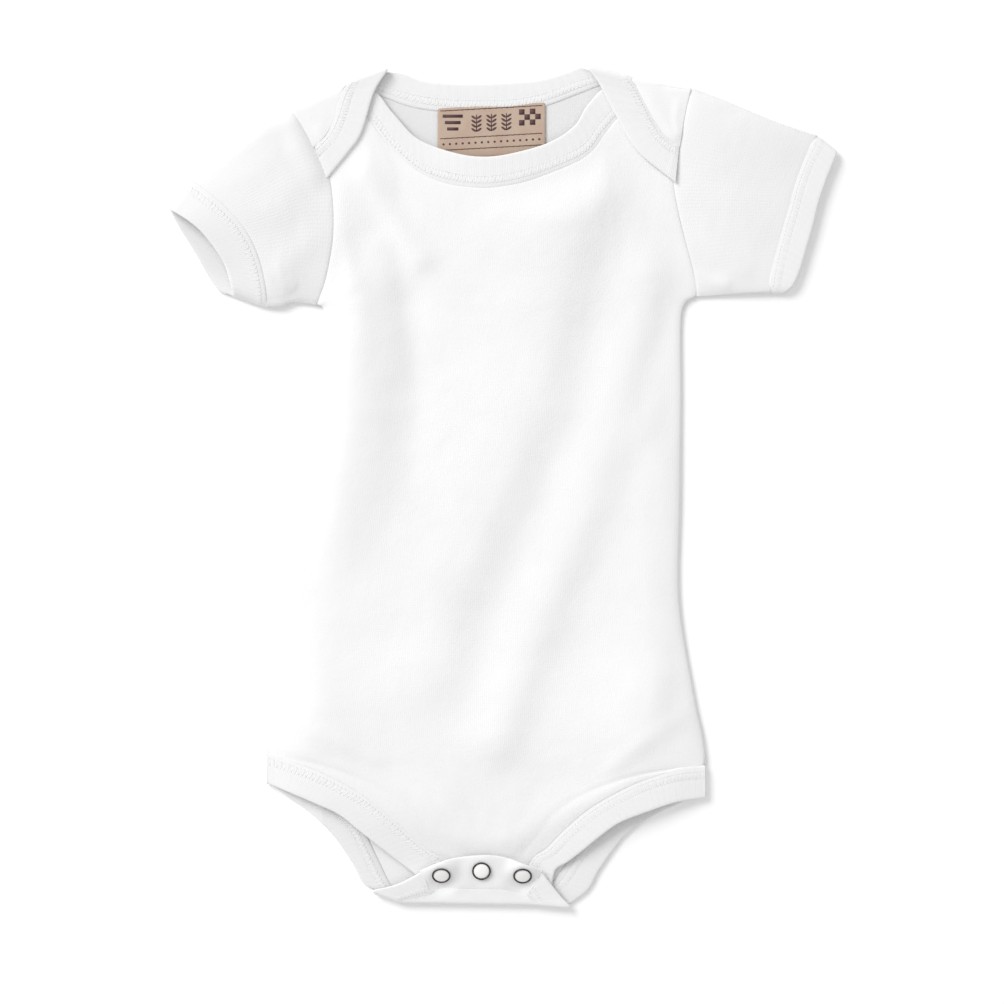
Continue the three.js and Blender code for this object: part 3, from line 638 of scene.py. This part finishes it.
def spreadRows(rows):  # even out the rows' spacing away from the two sides
    last = len(rows[0]) - 1
    for unused in range(front["evenings"]):
        before = [[point.copy() for point in row] for row in rows]
        for index in range(1, len(rows) - 1):
            for column in range(1, last):
                share = column / last
                hold = min(1.0, min(share, 1 - share) * front["sideHold"])
                middle = (before[index - 1][column] + before[index + 1][column]) / 2
                rows[index][column] = before[index][column].lerp(middle, 0.6 * hold)


def raiseFront(point, start, end, share):  # sets a point's height from its place between its row's ends
    low = garment["seamLevel"]
    inset = min(share, 1 - share) * (end - start).length
    ramp = 1 - (1 - min(1.0, inset / front["loftRamp"])) ** 2
    neckFade = foldFade(point.x, point.y)
    crotchFade = between(point.y, *front["foldSlope"])
    nearest = start if share < 0.5 else end
    beside = min(1.0, (point.x - front["tabX"]) ** 2 / front["tabBreadth"])
    stepFrom, stepReach = [a + b * beside for a, b in zip(front["tabStep"], front["tabStepBeside"])]
    seat = front["seatRise"] * between(point.y, *front["seatSlope"]) * ramp
    seat *= smoothStep((point.y + stepFrom) / stepReach)
    bow = 2 - front["chestBow"] * between(point.y, *front["chestSlope"])
    point.z = low + (nearest.z - low) * math.exp(-(inset / front["legReach"]) ** bow)
    point.z = max(point.z, low + seat) + front["seatShare"] * min(seat, point.z - low)
    point.z += foldHeight(bodyFolds, point.x, point.y) * ramp * neckFade * crotchFade
    point.z += neckLift(point.x, point.y) * ramp
    point.z += crumple(point) * min(1.0, inset / front["crumpleInset"])
    dip = front["dip"] + front["dipAtSleeve"] * between(point.y, *front["sleeveSlope"])
    point.z -= dip * (1 - min(1.0, inset / front["dipInset"])) ** 2 * between(start.y, *front["dipSlope"])


def frontRows():
    left = tablePoints(frontOutline, lambda row: at(*row[0:3]))
    right = tablePoints(frontOutline, lambda row: at(*row[3:6]))
    seam = SmoothLine([at(x, y) for x, y, freeX, freeY in frontNeck])
    columns = front["columns"]
    topLeft, topRight = left[-1], right[-1]
    rows = []
    for start, end in zip(left, right):
        bend = between(start.y, front["bendFrom"], topLeft.y)
        row = []
        for column in range(columns + 1):
            share = column / columns
            point = start.lerp(end, share)
            top = seam.at(share) - topLeft.lerp(topRight, share)
            row.append(point + at(top.x, top.y) * bend)
        rows.append(row)
    spreadRows(rows)
    for row in rows:
        start, end = row[0].copy(), row[-1].copy()
        for column, point in enumerate(row):
            raiseFront(point, start, end, column / columns)
    return rows


def buildFront():
    bm = bmesh.new()
    addLattice(bm, frontRows())
    piece = finishPiece("frontPanel", bm, "body", ["front_panel"], garment["clothThickness"], 1)


back = {
    "lapColumns": 16, "lapSteps": 16, "neckSteps": 5, "bendFrom": 40,
    "longStep": 6,  # a longer step down the armhole is cut in four
    "foldInset": (14, 34), "foldTop": (176, 146), "foldFoot": (-186, -156),
}


def shoulderLine(side):
    armX, armY, seamX, seamY = laps[side][0][:4]
    arm, seam = at(armX, armY), at(seamX, seamY)
    start, end = (arm, seam) if side == "left" else (seam, arm)
    columns = back["lapColumns"]
    return [start.lerp(end, column / columns) for column in range(columns + 1)], outwardOf(start, end)


def backTop():
    offset = (garment["shoulderLevel"] - garment["backLevel"]) / 2 + garment["clothThickness"] / 2
    leftLine, leftOut = shoulderLine("left")
    rightLine, rightOut = shoulderLine("right")
    neck = [at(x, y) for x, y, freeX, freeY in backNeck]
    neck[0] = leftLine[-1] - leftOut * offset
    neck[-1] = rightLine[0] - rightOut * offset
    line = SmoothLine(neck)
    steps = back["neckSteps"] * (len(neck) - 1)
    middle = [line.at(step / steps) for step in range(1, steps)]
    return [p - leftOut * offset for p in leftLine] + middle + [p - rightOut * offset for p in rightLine]


def backRows():
    left = tablePoints(backOutline, lambda row: at(row[0], row[1]))
    right = tablePoints(backOutline, lambda row: at(row[2], row[3]))
    top = backTop()
    for lower, upper in zip(armholes[:0:-1], armholes[-2::-1]):
        for share in (0.25, 0.5, 0.75, 1.0) if upper[1] - lower[1] > back["longStep"] else (1.0,):
            left.append(at(*lower[0:2]).lerp(at(*upper[0:2]), share))
            right.append(at(*lower[2:4]).lerp(at(*upper[2:4]), share))
    left[-1], right[-1] = top[0], top[-1]
    rows = []
    for start, end in zip(left, right):
        bend = between(start.y, back["bendFrom"], top[0].y)
        row = []
        for column, target in enumerate(top):
            share = column / (len(top) - 1)
            point = start.lerp(end, share) + (target - top[0].lerp(top[-1], share)) * bend
            inset = min(share, 1 - share) * (end - start).length
            hold = between(inset, *back["foldInset"])
            hold *= between(point.y, *back["foldTop"]) * between(point.y, *back["foldFoot"])
            point.z = garment["backLevel"] + foldHeight(backFolds, point.x, point.y) * hold
            row.append(point)
        rows.append(row)
    return rows


crotchOut = at(0, -1)
foldInset = at(0, (garment["lapLevel"] - garment["backLevel"] + garment["clothThickness"]) / 2)


def tabRows(edge):  # the tab on the front, from the snap band down to the fold
    low = SmoothLine([at(x, y) for x, y, highX, highY in snapBandEdge])
    rows = []
    for rise in (1.0, 0.75, 0.5, 0.25):
        row = []
        for column, start in enumerate(edge):
            point = (start + foldInset).lerp(low.at(column / (len(edge) - 1)), rise)
            point.z = tabHeight(point.y) + puckerHeight(point.x, point.y)
            row.append(point)
        rows.append(row)
    return rows


def lapRows(side, topRow):  # over the shoulder and down the front to the lap's point
    line, outward = shoulderLine(side)
    level = garment["shoulderLevel"]
    folded = foldRows(line, outward, garment["backLevel"], level, garment["clothThickness"])
    rows = [topRow] + [[point for point, normal in row] for row in folded[1:]]
    arm = SmoothLine([at(row[0], row[1], level) for row in laps[side]])
    seam = SmoothLine([at(row[2], row[3], level) for row in laps[side]])
    columns, steps = back["lapColumns"], back["lapSteps"]
    for step in range(2, steps + 1):
        ends = (arm.at(step / steps), seam.at(step / steps))
        first, last = ends if side == "left" else ends[::-1]
        row = [first.lerp(last, column / columns) for column in range(columns + 1)]
        for point in row:
            point.z += (foldHeight(lapFolds, point.x, point.y) + crumple(point)) * smoothStep((step - 1) / 4)
        rows.append(row)
    return rows


def buildBack():
    bm = bmesh.new()
    rows = backRows()
    start, end = at(*backOutline[0][0:2]), at(*backOutline[0][2:4])
    last = len(rows[0]) - 1
    edge = [start.lerp(end, column / last) for column in range(last + 1)]
    folds = foldRows(edge, crotchOut, garment["backLevel"], garment["lapLevel"], garment["clothThickness"])
    turned = [[point for point, normal in row] for row in reversed(folds)]
    addLattice(bm, tabRows(edge) + turned + rows[1:])
    addLattice(bm, lapRows("left", rows[-1][:back["lapColumns"] + 1]))
    addLattice(bm, lapRows("right", rows[-1][-back["lapColumns"] - 1:]))
    piece = finishPiece("backPanel", bm, "body", ["back_panel"], garment["clothThickness"], 1)


print("panels")
buildFront()
buildBack()

ribs = {
    "pitch": 1.45, "samples": 4, "depth": 0.13, "across": 12, "stitchLines": (1.6, 5.0),
    "channel": 0.12, "channelReach": 0.45,
    "sewnHalf": 0.5,  # half its thickness where it is sewn on
    "sewnReach": 2.4, "hem": [(-1.3, 0.1, 0.0), (-0.8, 0.38, 0.2)], "edgeShare": 0.7, "endShare": 0.6,
    "endTaper": 3.0,
}
stitches = {"spacing": 1.6, "radius": 0.135, "rung": 0.17, "lift": 0.02, "gap": 0.12, "slant": 0.3,
            "reach": 12}


def bandProfile(width, channel):  # round its section: distance from the seam, height, share of ribs
    half = garment["ribThickness"] / 2
    flat = []
    for index in range(ribs["across"] + 1):
        s = index / ribs["across"] * (width - half)
        dent = sum(math.exp(-((s - line) / ribs["channelReach"]) ** 2) for line in ribs["stitchLines"])
        sewn = ribs["sewnHalf"] + (half - ribs["sewnHalf"]) * smoothStep(s / ribs["sewnReach"])
        flat.append((s, sewn - dent * channel, 1.0))
    turn = []
    for degrees in (60, 30, 0, -30, -60):
        angle = math.radians(degrees)
        turn.append((width - half + half * math.cos(angle), half * math.sin(angle), ribs["edgeShare"]))
    outer = ribs["hem"] + flat
    return outer + turn + [(s, -h, share) for s, h, share in reversed(outer)]


def buildBand(name, node, stations, closed, stitched):
    # stations: (seam, free edge, way the outer face looks), in order along the band
    lead, tail = (2, 3) if closed else (0, 0)  # so that a ring's curves run on past its start
    if closed:
        stations = stations[-lead:] + stations + stations[:tail]
    seams = SmoothLine([seam for seam, free, normal in stations])
    frees = SmoothLine([free for seam, free, normal in stations])
    normals = SmoothLine([normal for seam, free, normal in stations])
    middles = SmoothLine([seam.lerp(free, 0.5) for seam, free, normal in stations])
    spans = len(stations) - 1
    first = middles.lengths[round(lead / spans * middles.fine)]
    last = middles.lengths[round((1.0 if not closed else (spans + 1 - tail) / spans) * middles.fine)]
    step = ribs["pitch"] / ribs["samples"]
    count = max(8, round((last - first) / step / ribs["samples"]) * ribs["samples"])
    rows = []
    spine = []
    for index in range(count + (0 if closed else 1)):
        t = middles.shareAt(first + (last - first) * index / count)
        seam, free, normal = seams.at(t), frees.at(t), normals.at(t).normalized()
        across = free - seam
        profile = bandProfile(across.length, ribs["channel"] if stitched else 0)
        across.normalize()
        wave = math.cos(2 * math.pi * index / ribs["samples"]) * ribs["depth"]
        toEnd = min(index, count - index) * (last - first) / count
        taper = min(1.0, ribs["endShare"] + (1 - ribs["endShare"]) * toEnd / ribs["endTaper"])
        if closed:
            taper = 1
        rows.append([seam + across * s + normal * (h + math.copysign(wave * share, h)) * taper
                     for s, h, share in profile])
        spine.append((seam, across, normal))
    bm = bmesh.new()
    if closed:
        rows.append(rows[0])
    addLattice(bm, rows, closed=True)
    bmesh.ops.remove_doubles(bm, verts=bm.verts, dist=weldGap)
    if not closed:
        bmesh.ops.holes_fill(bm, edges=[edge for edge in bm.edges if edge.is_boundary], sides=0)
    if not stitched:  # the snap band
        for vert in bm.verts:
            vert.co.z += puckerHeight(vert.co.x, vert.co.y)
    piece = finishPiece(name, bm, "rib", [node])
    if stitched:
        sewBand(name + "Stitches", spine)


def addStitch(bm, stitch, first, last, normal, radius):
    ahead = last - first
    length = ahead.length
    ahead.normalize()
    side = normal.cross(ahead).normalized()
    turn = Matrix((ahead, side, ahead.cross(side))).transposed().to_4x4()
    place = (Matrix.Translation((first + last) / 2) @ turn
             @ Matrix.Diagonal((length / 2 + radius, radius, radius, 1)))
    stitch.transform(place)
    bm.from_mesh(stitch)
    stitch.transform(place.inverted())


def stitchMarks(spine):  # the places along a band where its needles go down
    reach = stitches["reach"]
    travelled = 0.0
    marks = [0]
    for index in range(1, len(spine)):
        (seamBefore, acrossBefore), (seam, across) = spine[index - 1][:2], spine[index][:2]
        outer = seam + across * reach - seamBefore - acrossBefore * reach
        travelled += (seam - seamBefore).lerp(outer, 0.5).length
        if travelled >= stitches["spacing"]:
            travelled = 0.0
            marks.append(index)
    return marks


def sewBand(name, spine):  # cover stitch: two needle rows with threads across, on both faces
    bm = bmesh.new()
    bmesh.ops.create_uvsphere(bm, u_segments=6, v_segments=4, radius=1)
    stitch = bpy.data.meshes.new("stitch")
    bm.to_mesh(stitch)
    bm.clear()
    marks = stitchMarks(spine)
    for first, last in zip(marks, marks[1:]):
        for face in (1, -1):
            ends = []
            for seam, across, normal in (spine[first], spine[last]):
                lift = normal * face * (garment["ribThickness"] / 2 + stitches["lift"])
                ends.append([seam + across * line + lift for line in ribs["stitchLines"]])
            normal = spine[first][2] * face
            for start, end in zip(*ends):
                addStitch(bm, stitch, start.lerp(end, stitches["gap"]), start.lerp(end, 1 - stitches["gap"]),
                          normal, stitches["radius"])
            addStitch(bm, stitch, ends[0][0], ends[0][1].lerp(ends[1][1], stitches["slant"]), normal,
                      stitches["rung"])
    bpy.data.meshes.remove(stitch)
    finishPiece(name, bm, "thread")


def lapStation(row, level, normal):
    return at(row[-4], row[-3], level), at(row[-2], row[-1], level), normal


def foldStations(seam, free, outward, low, high):
    rows = foldRows([seam, free], outward, low, high, garment["ribThickness"])
    return [(row[0][0], row[1][0], row[0][1]) for row in rows]


def frontNeckStations():
    stations = []
    for index, (seamX, seamY, freeX, freeY) in enumerate(frontNeck):
        fade = smoothStep(min(index, len(frontNeck) - 1 - index) / 2.5)
        level = garment["seamLevel"]
        stations.append((at(seamX, seamY, level + neckLift(seamX, seamY) * fade),
                         at(freeX, freeY, level + neckLift(freeX, freeY) * fade), up))
    return stations


def backNeckStations():
    low, high = garment["backRibLevel"], garment["shoulderLevel"]
    leftFold = [at(*laps["left"][0][2:4]), at(*laps["left"][0][4:6])]
    rightFold = [at(*laps["right"][0][2:4]), at(*laps["right"][0][4:6])]
    stations = [lapStation(row, high, up) for row in laps["left"][:0:-1]]
    stations += foldStations(*leftFold, outwardOf(*leftFold), low, high)[::-1]
    stations += [lapStation(row, low, down) for row in backNeck[1:-1]]
    stations += foldStations(*rightFold, outwardOf(*rightFold[::-1]), low, high)
    stations += [lapStation(row, high, up) for row in laps["right"][1:]]
    return stations


legs = {"seamDrop": 0.2, "cornerOut": 1.8}


def legStations(side):
    x, z = (0, 2) if side == "left" else (3, 5)
    edge = 0 if side == "left" else 2
    sign = -1 if side == "left" else 1
    low, high = garment["backRibLevel"], garment["lapLevel"]
    stations = []
    for outline, free in zip(frontOutline, frontLegEdge):
        level = outline[z]
        stations.append((at(outline[x], outline[x + 1], level - legs["seamDrop"]),
                         at(free[edge], free[edge + 1], level), up))
    corner = stations.pop()
    outward = at(sign * legs["cornerOut"], 0)
    seam, free = corner[0] + outward, corner[1] + outward
    stations += foldStations(seam, free, at(sign, 0), low, seam.z)[::-1]
    behind = []
    for outline, free in zip(backOutline, backLegEdge):
        behind.append((at(outline[edge], outline[edge + 1], low), at(free[edge], free[edge + 1], low), down))
    stations += behind[-2:0:-1]
    foldSeam = at(*backOutline[0][edge:edge + 2])
    foldFree = at(*tabEdge[0][edge:edge + 2])
    stations += foldStations(foldSeam, foldFree, crotchOut, low, high)
    bandEnd = snapBandEdge[0] if side == "left" else snapBandEdge[-1]
    endSeam = at(bandEnd[0], bandEnd[1])
    for index, share in ((1, 0.5), (2, 1.0)):
        seam = (foldSeam + foldInset).lerp(endSeam, share)
        free = at(*tabEdge[index][edge:edge + 2])
        seam.z = tabHeight(seam.y) + puckerHeight(seam.x, seam.y)
        free.z = tabHeight(free.y) + puckerHeight(free.x, free.y)
        stations.append((seam, free, up))
    return stations


def cuffSwell(side, share):
    return math.sin(math.pi * share ** 0.8) * shape["cuffLoft"][side]


def backSeamPoint(row):  # where a cuff's lower layer is sewn on
    seam, frontEdge, backEdge = at(*row[0:2]), at(*row[2:4]), at(*row[-2:])
    return seam + (backEdge - frontEdge) * garment["backSeamShare"]


def cuffStations(side):
    bottom, fold = garment["backRibLevel"], garment["cuffFold"]
    rows = cuffs[side]
    last = len(rows) - 1
    upper, lower = [], []
    for index, row in enumerate(rows):
        isFold = index in (0, last)
        level = bottom + (fold if isFold else 2 * fold) + cuffSwell(side, index / last)
        normal = up
        if isFold:
            sign = 1 if (side == "left") == (index == last) else -1
            normal = outwardOf(at(*row[0:2]), at(*row[2:4])) * sign
        upper.append((at(*row[0:2], level), at(*row[2:4], level), normal))
        lower.append((backSeamPoint(row) + at(0, 0, bottom), at(*row[-2:], bottom), down))
    return upper + lower[-2:0:-1]


snapBandLaps = {0: -2.2, len(snapBandEdge) - 1: 1.8}  # its ends reach over the leg bindings


def snapBandStations():
    stations = []
    for index, (lowX, lowY, highX, highY) in enumerate(snapBandEdge):
        lapOver = snapBandLaps.get(index, 0)
        lift = abs(lapOver) * 0.08
        stations.append((at(lowX + lapOver, lowY, tabHeight(lowY) + lift),
                         at(highX + lapOver, highY, tabHeight(highY) + lift), up))
    return stations


print("bands")
bands = {  # node, stations, flat size, what it rests on
    "frontNeckBinding": ("front_neck_binding", frontNeckStations(), (0.265, 0.0145), ["frontPanel"]),
    "backNeckBinding": ("back_neck_binding", backNeckStations(), (0.27, 0.0145), ["backPanel"]),
    "leftLegBinding": ("left_leg_binding", legStations("left"), (0.235, 0.0145), ["backPanel"]),
    "rightLegBinding": ("right_leg_binding", legStations("right"), (0.245, 0.0145), ["backPanel"]),
    "leftCuff": ("left_cuff", cuffStations("left"), (0.135, 0.0165), []),
    "rightCuff": ("right_cuff", cuffStations("right"), (0.158, 0.0145), []),
    "snapBand": ("snap_band", snapBandStations(), (0.056, 0.0155), ["frontPanel"]),
}
for name, (node, stations, flat, rests) in bands.items():
    buildBand(name, node, stations, closed="Cuff" in name, stitched=name != "snapBand")


armLevels = {  # how high the sleeve starts at the armhole, from the shoulder fold down
    "left": (2.2, 4.8, 4.9, 4.8, 4.1, 5.1, 5.5, 4.7, 2.9, 1.8),
    "right": (2.2, 4.6, 4.7, 4.3, 3.0, 2.6, 2.7, 2.2, 1.9, 1.5),
}
sleeve = {
    "around": 46, "steps": 30, "overlap": 0.9,
    "armEnd": 6,  # one over the share of its length that laps over the body
    "cuffEnd": 8, "edgeShare": 0.3, "cuffStep": {"left": 0.0, "right": 0.4}, "seamDip": 0.25,
    "dipReach": 2.4, "armLength": 60, "cuffLength": 40,
}


def buildSleeve(side, node):
    sign = -1 if side == "left" else 1
    column = 0 if side == "left" else 2
    armhole = SmoothLine([at(row[column], row[column + 1]) for row in armholes])
    seam = SmoothLine([at(row[0], row[1]) for row in cuffs[side]])
    backSeam = SmoothLine([backSeamPoint(row) for row in cuffs[side]])
    top = SmoothLine([at(x, y) for x, y in sleeveEdges[side]["top"]])
    under = SmoothLine([at(x, y) for x, y in sleeveEdges[side]["under"]])
    bottom, fold = garment["backLevel"], garment["cuffFold"]
    armLevel = SmoothLine([at(level, 0) for level in armLevels[side]])
    around, steps = sleeve["around"], sleeve["steps"]
    ring = [(True, i) for i in range(around + 1)] + [(False, i) for i in range(around - 1, 0, -1)]
    rows = []
    for step in range(steps + 1):
        along = step / steps
        row = []
        for isUpper, index in ring:
            share = (1 - math.cos(math.pi * index / around)) / 2
            end = seam if isUpper else backSeam
            point = armhole.at(share).lerp(end.at(share), along)
            topShift = top.at(along) - armhole.at(0).lerp(end.at(0), along)
            underShift = under.at(along) - armhole.at(1).lerp(end.at(1), along)
            point += topShift * (1 - share) + underShift * share
            point.x -= sign * sleeve["overlap"] * (1 - min(1.0, along * sleeve["armEnd"]))
            if side == "right":
                point.x += sleeve["overlap"] * smoothStep(1 - (1 - along) * sleeve["cuffEnd"])
            edge = min(1.0, math.sin(math.pi * index / around) / sleeve["edgeShare"])
            edge = math.sin(edge * math.pi / 2)
            if isUpper:
                atCuff = bottom + fold + (fold + sleeve["cuffStep"][side] + cuffSwell(side, share)) * edge
                swell = math.sin(math.pi * share ** 0.6) * shape["sleeveLoft"]
                swell += foldHeight(sleeveFolds, point.x, point.y) + crumple(point)
                atArm = armLevel.at(share).x
                point.z = atArm + (atCuff - atArm) * smoothStep(along)
                point.z += swell * edge * math.sin(math.pi * along) ** 0.7
                near = along * sleeve["armLength"]
                if side == "left":
                    near = min(near, (1 - along) * sleeve["cuffLength"])
                point.z -= sleeve["seamDip"] * max(0.0, 1 - near / sleeve["dipReach"]) ** 2
            else:
                point.z = bottom + fold * (1 - edge)
            row.append(point)
        rows.append(row)
    bm = bmesh.new()
    addLattice(bm, rows, closed=True)
    piece = finishPiece(side + "Sleeve", bm, "sleeve", [node], garment["clothThickness"], 1)


print("sleeves")
buildSleeve("left", "left_sleeve")
buildSleeve("right", "right_sleeve")


labelShape = {"corner": (-32, 190), "right": (22, 193), "length": 54.1, "drop": 26, "level": 1.8,
              "wave": 0.15, "wavePhase": 0.6, "thickness": 0.4, "motifRise": 0.12}
motifs = [  # across, gap, count, down, gap, count, half width, half height, turn, oval or not
    (19.5, 7.5, 3, 8.6, 0, 1, 0.22, 4.2, 0, False),  # stems of three twigs, and their leaves
    (18.15, 7.5, 3, 5.6, 2.1, 4, 1.5, 0.55, -0.6, True),
    (20.85, 7.5, 3, 5.6, 2.1, 4, 1.5, 0.55, 0.6, True),
    (7.6, 0, 1, 4.4, 0, 1, 5.0, 0.75, 0, False),  # bars on the left
    (7.6, 0, 1, 7.6, 0, 1, 3.9, 0.75, 0, False),
    (7.6, 0, 1, 10.8, 0, 1, 2.8, 0.75, 0, False),
    (42.2, 5.4, 2, 4.2, 5.4, 2, 1.35, 1.35, 0, False),  # checks on the right
    (44.9, 5.4, 2, 6.9, 0, 1, 1.35, 1.35, 0, False),
    (2.8, 2.83, 18, 1.5, 0, 1, 1.5, 0.17, 0, False),  # lines in lengths that follow the label's wave
    (2.8, 2.83, 18, 15.4, 5.8, 2, 1.5, 0.17, 0, False),
    (3, 3.2, 16, 18.3, 0, 1, 0.6, 0.6, 0, True),  # dots
]


def labelSpot(across, below):  # a place on the label, from its top left corner
    corner, right = at(*labelShape["corner"]), at(*labelShape["right"])
    share = across / (right - corner).length
    point = corner.lerp(right, share) + at(0, -below)
    wave = math.sin(share * math.tau + labelShape["wavePhase"])
    point.z = labelShape["level"] + labelShape["wave"] * wave
    return point


def addPatch(bm, across, below, halfWidth, halfHeight, turn, oval):  # a raised, woven motif
    lift = at(0, 0, labelShape["thickness"] / 2)
    matrix = (Matrix.Translation(labelSpot(across, below) + lift) @ Matrix.Rotation(turn, 4, "Z")
              @ Matrix.Diagonal((halfWidth, halfHeight, labelShape["motifRise"], 1)))
    if oval:
        bmesh.ops.create_uvsphere(bm, u_segments=20, v_segments=8, radius=1, matrix=matrix)
    else:
        bmesh.ops.create_cube(bm, size=2, matrix=matrix)


def buildLabel():
    length, drop = labelShape["length"], labelShape["drop"]
    bm = bmesh.new()
    addLattice(bm, [[labelSpot(length * i / 30, drop * j / 8) for i in range(31)] for j in range(9)])
    piece = finishPiece("neckLabel", bm, "label", ["neck_label"], labelShape["thickness"], 1)


def buildMotifs():
    bm = bmesh.new()
    for across, acrossGap, columns, below, belowGap, rows, *patch in motifs:
        for row in range(rows):
            for column in range(columns):
                addPatch(bm, across + column * acrossGap, below + row * belowGap, *patch)
    finishPiece("labelMotifs", bm, "ink")


print("label")
buildLabel()
buildMotifs()


def buildSnap(name):
    node, x, y, lean = snaps[name]
    level = tabHeight(y) + puckerHeight(x, y) + garment["ribThickness"] / 2
    place = Matrix.Translation(at(x, y, level + snap["above"])) @ Matrix.Rotation(math.radians(lean), 4, "X")
    bm = bmesh.new()
    upright = Matrix.Translation(at(snap["ring"], 0, snap["lift"])) @ Matrix.Rotation(math.pi / 2, 4, "X")
    section = bmesh.ops.create_circle(bm, segments=10, radius=snap["wire"], matrix=upright)["verts"]
    edges = list({edge for vert in section for edge in vert.link_edges})
    bmesh.ops.spin(bm, geom=section + edges, cent=(0, 0, 0), axis=(0, 0, 1), angle=math.tau, steps=48,
                   use_merge=True)
    bmesh.ops.transform(bm, matrix=place, verts=bm.verts)
    finishPiece(name, bm, "snap", [node])
    cap = bmesh.new()
    squash = Matrix.Diagonal((snap["cap"], snap["cap"], snap["capRise"], 1))
    bmesh.ops.create_uvsphere(cap, u_segments=32, v_segments=16, radius=1, matrix=place @ squash)
    finishPiece(name + "Cap", cap, "cap")


print("snaps")
for name in snaps:
    buildSnap(name)


studio = {
    "tableSize": 6, "tableDrop": 0.0001, "paper": (0.98, 0.98, 0.98, 1),
    "paperLight": (1.0, 1.0, 1.0, 1), "keyPlace": (-5.6, 5.0, 5.0), "keySize": 5.2, "keyPower": 605,
    "fillPlace": (0.5, -1.6, 3.0), "fillSize": 2.5, "fillPower": 6, "sky": 0.66,
}
view = {"height": 1.4, "lens": 100.2, "x": -0.00015, "y": -0.0075}


def buildStage():
    bm = bmesh.new()
    bmesh.ops.create_grid(bm, x_segments=1, y_segments=1, size=studio["tableSize"])
    mesh = bpy.data.meshes.new("table")
    bm.to_mesh(mesh)
    bm.free()
    table = bpy.data.objects.new("table", mesh)
    table.location.z = -studio["tableDrop"]
    bpy.context.collection.objects.link(table)
    look = Look("tablePaper")
    grain = look.noise(look.add("ShaderNodeTexCoord", output="Object"), 40.0, 2.0)
    mesh.materials.append(look.finish(look.mix(grain, studio["paper"], studio["paperLight"]), 0.9))


def addLight(name, place, target, size, power):
    data = bpy.data.lights.new(name, "AREA")
    data.shape = "DISK"
    data.size = size
    data.energy = power
    light = bpy.data.objects.new(name, data)
    light.location = place
    light.rotation_euler = (Vector(target) - Vector(place)).to_track_quat("-Z", "Y").to_euler()
    bpy.context.collection.objects.link(light)


buildStage()
addLight("key", studio["keyPlace"], (0, 0, 0), studio["keySize"], studio["keyPower"])
addLight("fill", studio["fillPlace"], (0, 0, 0), studio["fillSize"], studio["fillPower"])
world = bpy.data.worlds.new("studio")
world.use_nodes = True
sky = world.node_tree.nodes["Background"].inputs
sky["Color"].default_value = (1, 1, 1, 1)
sky["Strength"].default_value = studio["sky"]
bpy.context.scene.world = world
bpy.context.scene.view_settings.view_transform = "Standard"

cameraData = bpy.data.cameras.new("camera")
cameraData.lens = view["lens"]
camera = bpy.data.objects.new("camera", cameraData)
camera.location = (view["x"], view["y"], view["height"])
bpy.context.collection.objects.link(camera)
bpy.context.scene.camera = camera
print("stage")
